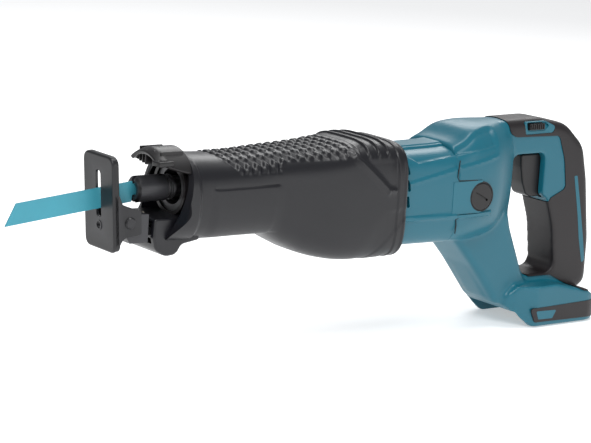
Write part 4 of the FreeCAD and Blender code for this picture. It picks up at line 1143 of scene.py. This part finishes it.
# ------------------------------------------------------------------ small parts
@dataclass
class Trimmings:
    """Trigger, lock button, brush caps, foot band and other small outside pieces."""

    cap_place: Point = (-88.0, 116.5)

    def finish(self, handle: Handle) -> None:
        """Build, dress and hand over every trimming.

        Args:
            handle: the handle that the button's frames are cut to.
        """
        self.trigger()
        self.button()
        self.bezels(handle)
        self.caps()
        self.lines()
        self.foot_band()

    def trigger(self) -> None:
        """The sliding trigger with a curved finger face."""
        side = rounded([
            (-21.6, 142.2, 2), (-20.6, 131, 20), (-17.6, 117, 20), (-13.0, 107.2, 5),
            (-8, 105.2, 4), (5.5, 105.2, 0), (5.5, 142.2, 0),
        ], 6)
        body = prism("trigger_body", side, -9.4, 9.4)
        soften(body, 2.2, 4)
        hand_over(dress(body, Finish.BLACK), "trigger", "black_plastic", "trigger")

    def button(self) -> None:
        """The cross button with a ribbed end."""
        bar = blocky("lock_button_bar", (-23.4, -18.6, 163.8), (-7.1, 15.3, 169.1), 0.5, 2)
        ribs = [blocky(f"button_rib{n}", (-22.6 + 2.3 * n, -19.4, 164.3),
                       (-21.4 + 2.3 * n, -18.3, 168.6), 0.3, 2)
                for n in range(7)]
        hand_over(dress(join("lock_button", [bar, *ribs]), Finish.BLACK), "lock_button", "black_plastic",
                  "trigger_lock_button")

    def bezels(self, handle: Handle) -> None:
        """The teal frames round the lock button."""
        frames = []
        for side in SIDES:
            frame = handle.bezel(f"bezel{side}", 0.0)
            span = prism("bezel_span", [(-40, 150), (20, 150), (20, 180), (-40, 180)],
                         *across(side, 15.2, 17.0))
            hole = prism("bezel_hole", rounded([
                (-25.4, 169.9, 1), (-5.4, 169.9, 1), (-0.5, 166.6, 1), (-5.4, 162.8, 1),
                (-25.4, 162.8, 1),
            ]), -30, 30)
            combine(frame, span, "INTERSECT")
            combine(frame, hole, "DIFFERENCE")
            soften(frame, 0.4, 2)
            frames.append(frame)
        hand_over(dress(join("button_bezels", frames), Finish.TEAL), "housing", "teal_plastic",
                  "lock_button_bezels")

    def caps(self) -> None:
        """The two screwed brush caps with a coin slot."""
        x, z = self.cap_place
        for side, name in ((-1, "left"), (1, "right")):
            cap = rod(f"cap_{name}", "Y", *across(side, 34.9, 38.3), 11.1, x, z, 72)
            soften(cap, 0.9)
            slot = groove("slot", [(x - 6.4, z + 3.4), (x + 6.4, z - 3.4)], 1.7, *across(side, 37.0, 45))
            combine(cap, slot, "DIFFERENCE")
            hand_over(dress(cap, Finish.BLACK), "housing", "black_plastic", f"brush_cap_{name}")

    def lines(self) -> None:
        """Strips of painted shade in the seams where the housings meet, and a ring of painted shade round
        each cap.
        """
        x, z = self.cap_place
        seams = []
        for side in SIDES:
            span = across(side, 37.2, 37.95)
            upper = [(-113.2, 147.5), (-114.5, 134), (-113, 131), (x - 6, 130.4), (x - 3, 128)]
            lower = [(x - 3, 105), (-104, 102.6), (-113.6, 99.5), (-112.6, 95), (-113.2, 88)]
            seams += [groove("seam", upper, 0.6, *span), groove("seam", lower, 0.6, *span)]
            ring = rod("ring", "Y", *span, 12.3, x, z, 72)
            seams.append(combine(ring, rod("ring_hole", "Y", -60, 60, 11.3, x, z, 72), "DIFFERENCE"))
        # These strips carry the painted seam shade, not a plastic of their own.
        hand_over(dress(join("housing_seams", seams), Finish.SEAM_SHADE), "housing", "black_plastic")

    def foot_band(self) -> None:
        """The black band round the foot with its plain inlays."""
        band = prism("band", rounded([(-23, 16.5, 2), (-17.5, 4.6, 2), (59, 3.6, 2), (59, 18.5, 2)]),
                     -45, 45)
        outer = [(-60, -36.9, 4), (57.9, -36.9, 17.6), (57.9, 36.9, 17.6), (-60, 36.9, 4)]
        inner = [(-60, -35.4, 4), (56.6, -35.4, 16.6), (56.6, 35.4, 16.6), (-60, 35.4, 4)]
        plan = prism("band_plan", rounded(outer, 10), -5, 40, "Z")
        core = prism("band_core", rounded(inner, 10), -6, 41, "Z")
        combine(band, plan, "INTERSECT")
        combine(band, core, "DIFFERENCE")
        soften(band, 0.4, 2)
        hand_over(dress(band, Finish.GRIP), "housing", "black_soft")
        inlays = [prism("inlay", rounded([(-16.5, 14, 1), (6, 13.4, 1), (2, 6.6, 1), (-13.6, 6.8, 1)]),
                        *across(side, 36.0, 37.0)) for side in SIDES]
        hand_over(dress(join("foot_inlays", inlays), Finish.TEAL), "housing", "teal_plastic")


@dataclass
class ShoePlate:
    """The pressed steel shoe."""

    lean: float = -4.4
    pivot: Point = (-411.8, 115.4)

    def build(self) -> bpy.types.Object:
        """Build the slotted face, its flanges and ears, all with pressed corners."""
        face = [(-20.4, 93.8, 6), (20.4, 93.8, 6), (20.4, 165.8, 6.5), (-20.4, 165.8, 6.5)]
        shell = prism("shoe_shell", rounded(face, 6), -426, -420, "X")
        soften(shell, 1.6, 4)
        inner = [(-18.2, 91, 1), (18.2, 91, 1), (18.2, 163.6, 4.5), (-18.2, 163.6, 4.5)]
        combine(shell, prism("shoe_hollow", rounded(inner, 4), -423.8, -410, "X"), "DIFFERENCE")
        slot = [(-3.4, 118.5, 2), (3.4, 118.5, 2), (3.4, 154, 3.3), (-3.4, 154, 3.3)]
        combine(shell, prism("shoe_slot", rounded(slot, 8), -430, -415, "X"), "DIFFERENCE")
        combine(shell, rod("shoe_hole", "X", -430, -415, 2.6, 0, 112.4), "DIFFERENCE")
        ears = []
        for side in SIDES:
            outline = rounded([
                (-424.5, 100, 0), (-420.5, 100, 0), (-417.5, 104.5, 6), (-402, 105.2, 2),
                (-402, 123.6, 2),
                (-411, 126.6, 4), (-417.5, 129, 6), (-420.5, 138, 6), (-424.5, 138, 0),
            ], 6)
            ear = prism("shoe_ear", outline, *across(side, 18.3, 20.4))
            combine(ear, rod("ear_hole", "Y", -30, 30, 2.56, *self.pivot), "DIFFERENCE")
            ears.append(soften(ear, 0.4, 2))
        ring = rod("shoe_ring", "X", -426.5, -425.8, 3.7, 0, 112.4)
        combine(ring, rod("shoe_ring_hole", "X", -430, -420, 2.7, 0, 112.4), "DIFFERENCE")
        whole = join("shoe_pressing", [shell, ring, *ears])
        x, z = self.pivot[0] * MM, self.pivot[1] * MM
        turn = (Matrix.Translation((x, 0, z)) @ Matrix.Rotation(math.radians(self.lean), 4, "Y")
                @ Matrix.Translation((-x, 0, -z)))
        whole.data.transform(turn)
        return whole

    def finish(self) -> None:
        """Build, dress and hand over."""
        hand_over(dress(self.build(), Finish.COATED), "shoe", "black_steel", "shoe_plate")


NODE_FINISH = {
    "cast_aluminium": Finish.CAST,
    "bright_steel": Finish.STEEL,
    "black_steel": Finish.COATED,
    "blue_coated_steel": Finish.BLADE,
    "brass": Finish.BRASS,
    "copper_winding": Finish.COPPER,
    "carbon": Finish.CARBON,
    "bronze": Finish.BRONZE,
    "clear_lens": Finish.CLEAR,
    "board_green": Finish.BOARD,
    "ferrite": Finish.FERRITE,
    "black_plastic": Finish.BLACK,
    "black_rubber": Finish.BOOT,
    "black_soft": Finish.GRIP,
    "teal_plastic": Finish.TEAL,
}


NODE_EXCEPTIONS = {"shoe_pivot_pin": Finish.COATED, "blade_clamp_sleeve": Finish.COATED,
                   "shoe_bracket": Finish.COATED}


def dress_nodes(frame: dict) -> None:
    """Give every CAD node the finish of its slot.
    """
    slots = {row["node"]: row["material_slot"] for row in frame["record"]["subparts"]}
    for name, node in frame["nodes"].items():
        material = finish_material(NODE_EXCEPTIONS.get(name, NODE_FINISH[slots[name]]))
        for slot in node.material_slots:
            slot.material = material


# ------------------------------------------------------------------ stage
@dataclass
class Stage:
    """Floor, lights and camera."""

    camera_place: tuple[float, float, float] = (-1.3540, -1.4555, 0.4791)
    turn: float = 37.3
    tilt: float = 11.7
    roll: float = 3.55
    lens: float = 146.2
    aim: tuple[float, float, float] = (-0.2, 0.0, 0.12)

    def camera(self) -> None:
        """The camera, level with the tool's upper half and a little in front of it."""
        a, e, r = (math.radians(value) for value in (self.turn, self.tilt, self.roll))
        ahead = Vector((math.sin(a) * math.cos(e), math.cos(a) * math.cos(e), -math.sin(e)))
        right = Vector((math.cos(a), -math.sin(a), 0.0))
        up = right.cross(ahead)
        level_right = right * math.cos(r) + up * math.sin(r)
        level_up = up * math.cos(r) - right * math.sin(r)
        data = bpy.data.cameras.new("camera")
        data.sensor_width = 36.0
        data.lens = self.lens
        data.clip_end = 50.0
        camera = bpy.data.objects.new("camera", data)
        basis = Matrix((level_right, level_up, -ahead)).transposed().to_4x4()
        camera.matrix_world = Matrix.Translation(self.camera_place) @ basis
        bpy.context.scene.collection.objects.link(camera)
        bpy.context.scene.camera = camera

    def floor(self) -> None:
        """A pale floor under the foot."""
        reach, level = 9000, -0.4
        corners = [(-reach, -reach), (reach, -reach), (reach, reach), (-reach, reach)]
        floor = new_object("floor", [(x, y, level) for x, y in corners], [(0, 1, 2, 3)])
        floor.data.materials.append(finish_material(Finish.BACKDROP))

    def lamp(self, name: str, place: Sequence[float], width: float, power: float) -> None:
        """A large soft lamp that faces the tool.

        Args:
            name: the lamp's name.
            place: where it stands, in metres.
            width: its wider side in metres.
            power: its power in watts.
        """
        data = bpy.data.lights.new(name, "AREA")
        data.shape = "RECTANGLE"
        data.size, data.size_y = width, width * 0.7
        data.energy = power
        lamp = bpy.data.objects.new(name, data)
        lamp.location = place
        ahead = Vector(self.aim) - Vector(place)
        lamp.rotation_euler = ahead.to_track_quat("-Z", "Y").to_euler()
        bpy.context.scene.collection.objects.link(lamp)

    def build(self) -> None:
        """Set the whole stage."""
        self.camera()
        self.floor()
        self.lamp("key", (-1.6, -1.2, 1.8), 1.0, 26.0)
        self.lamp("top", (0.1, -0.2, 2.2), 1.2, 20.0)
        self.lamp("rim", (0.9, 1.1, 1.2), 1.0, 9.0)
        self.lamp("low", (0.6, -2.0, 0.5), 1.2, 5.0)
        world = bpy.data.worlds.new("studio")
        world.use_nodes = True
        world.node_tree.nodes["Background"].inputs[0].default_value = (0.95, 0.97, 1.0, 1.0)
        world.node_tree.nodes["Background"].inputs[1].default_value = 0.36
        bpy.context.scene.world = world
        bpy.context.scene.view_settings.view_transform = "Standard"


def main() -> None:
    """Build every sub-assembly in order."""
    logging.basicConfig(level=logging.INFO, format="%(name)s %(message)s")
    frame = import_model()
    Stage().build()
    dress_nodes(frame)
    Boot().finish()
    ClampLever().finish()
    MotorHousing().finish()
    handle = Handle()
    handle.finish()
    Trimmings().finish(handle)
    ShoePlate().finish()


if __name__ == "__main__":
    main()
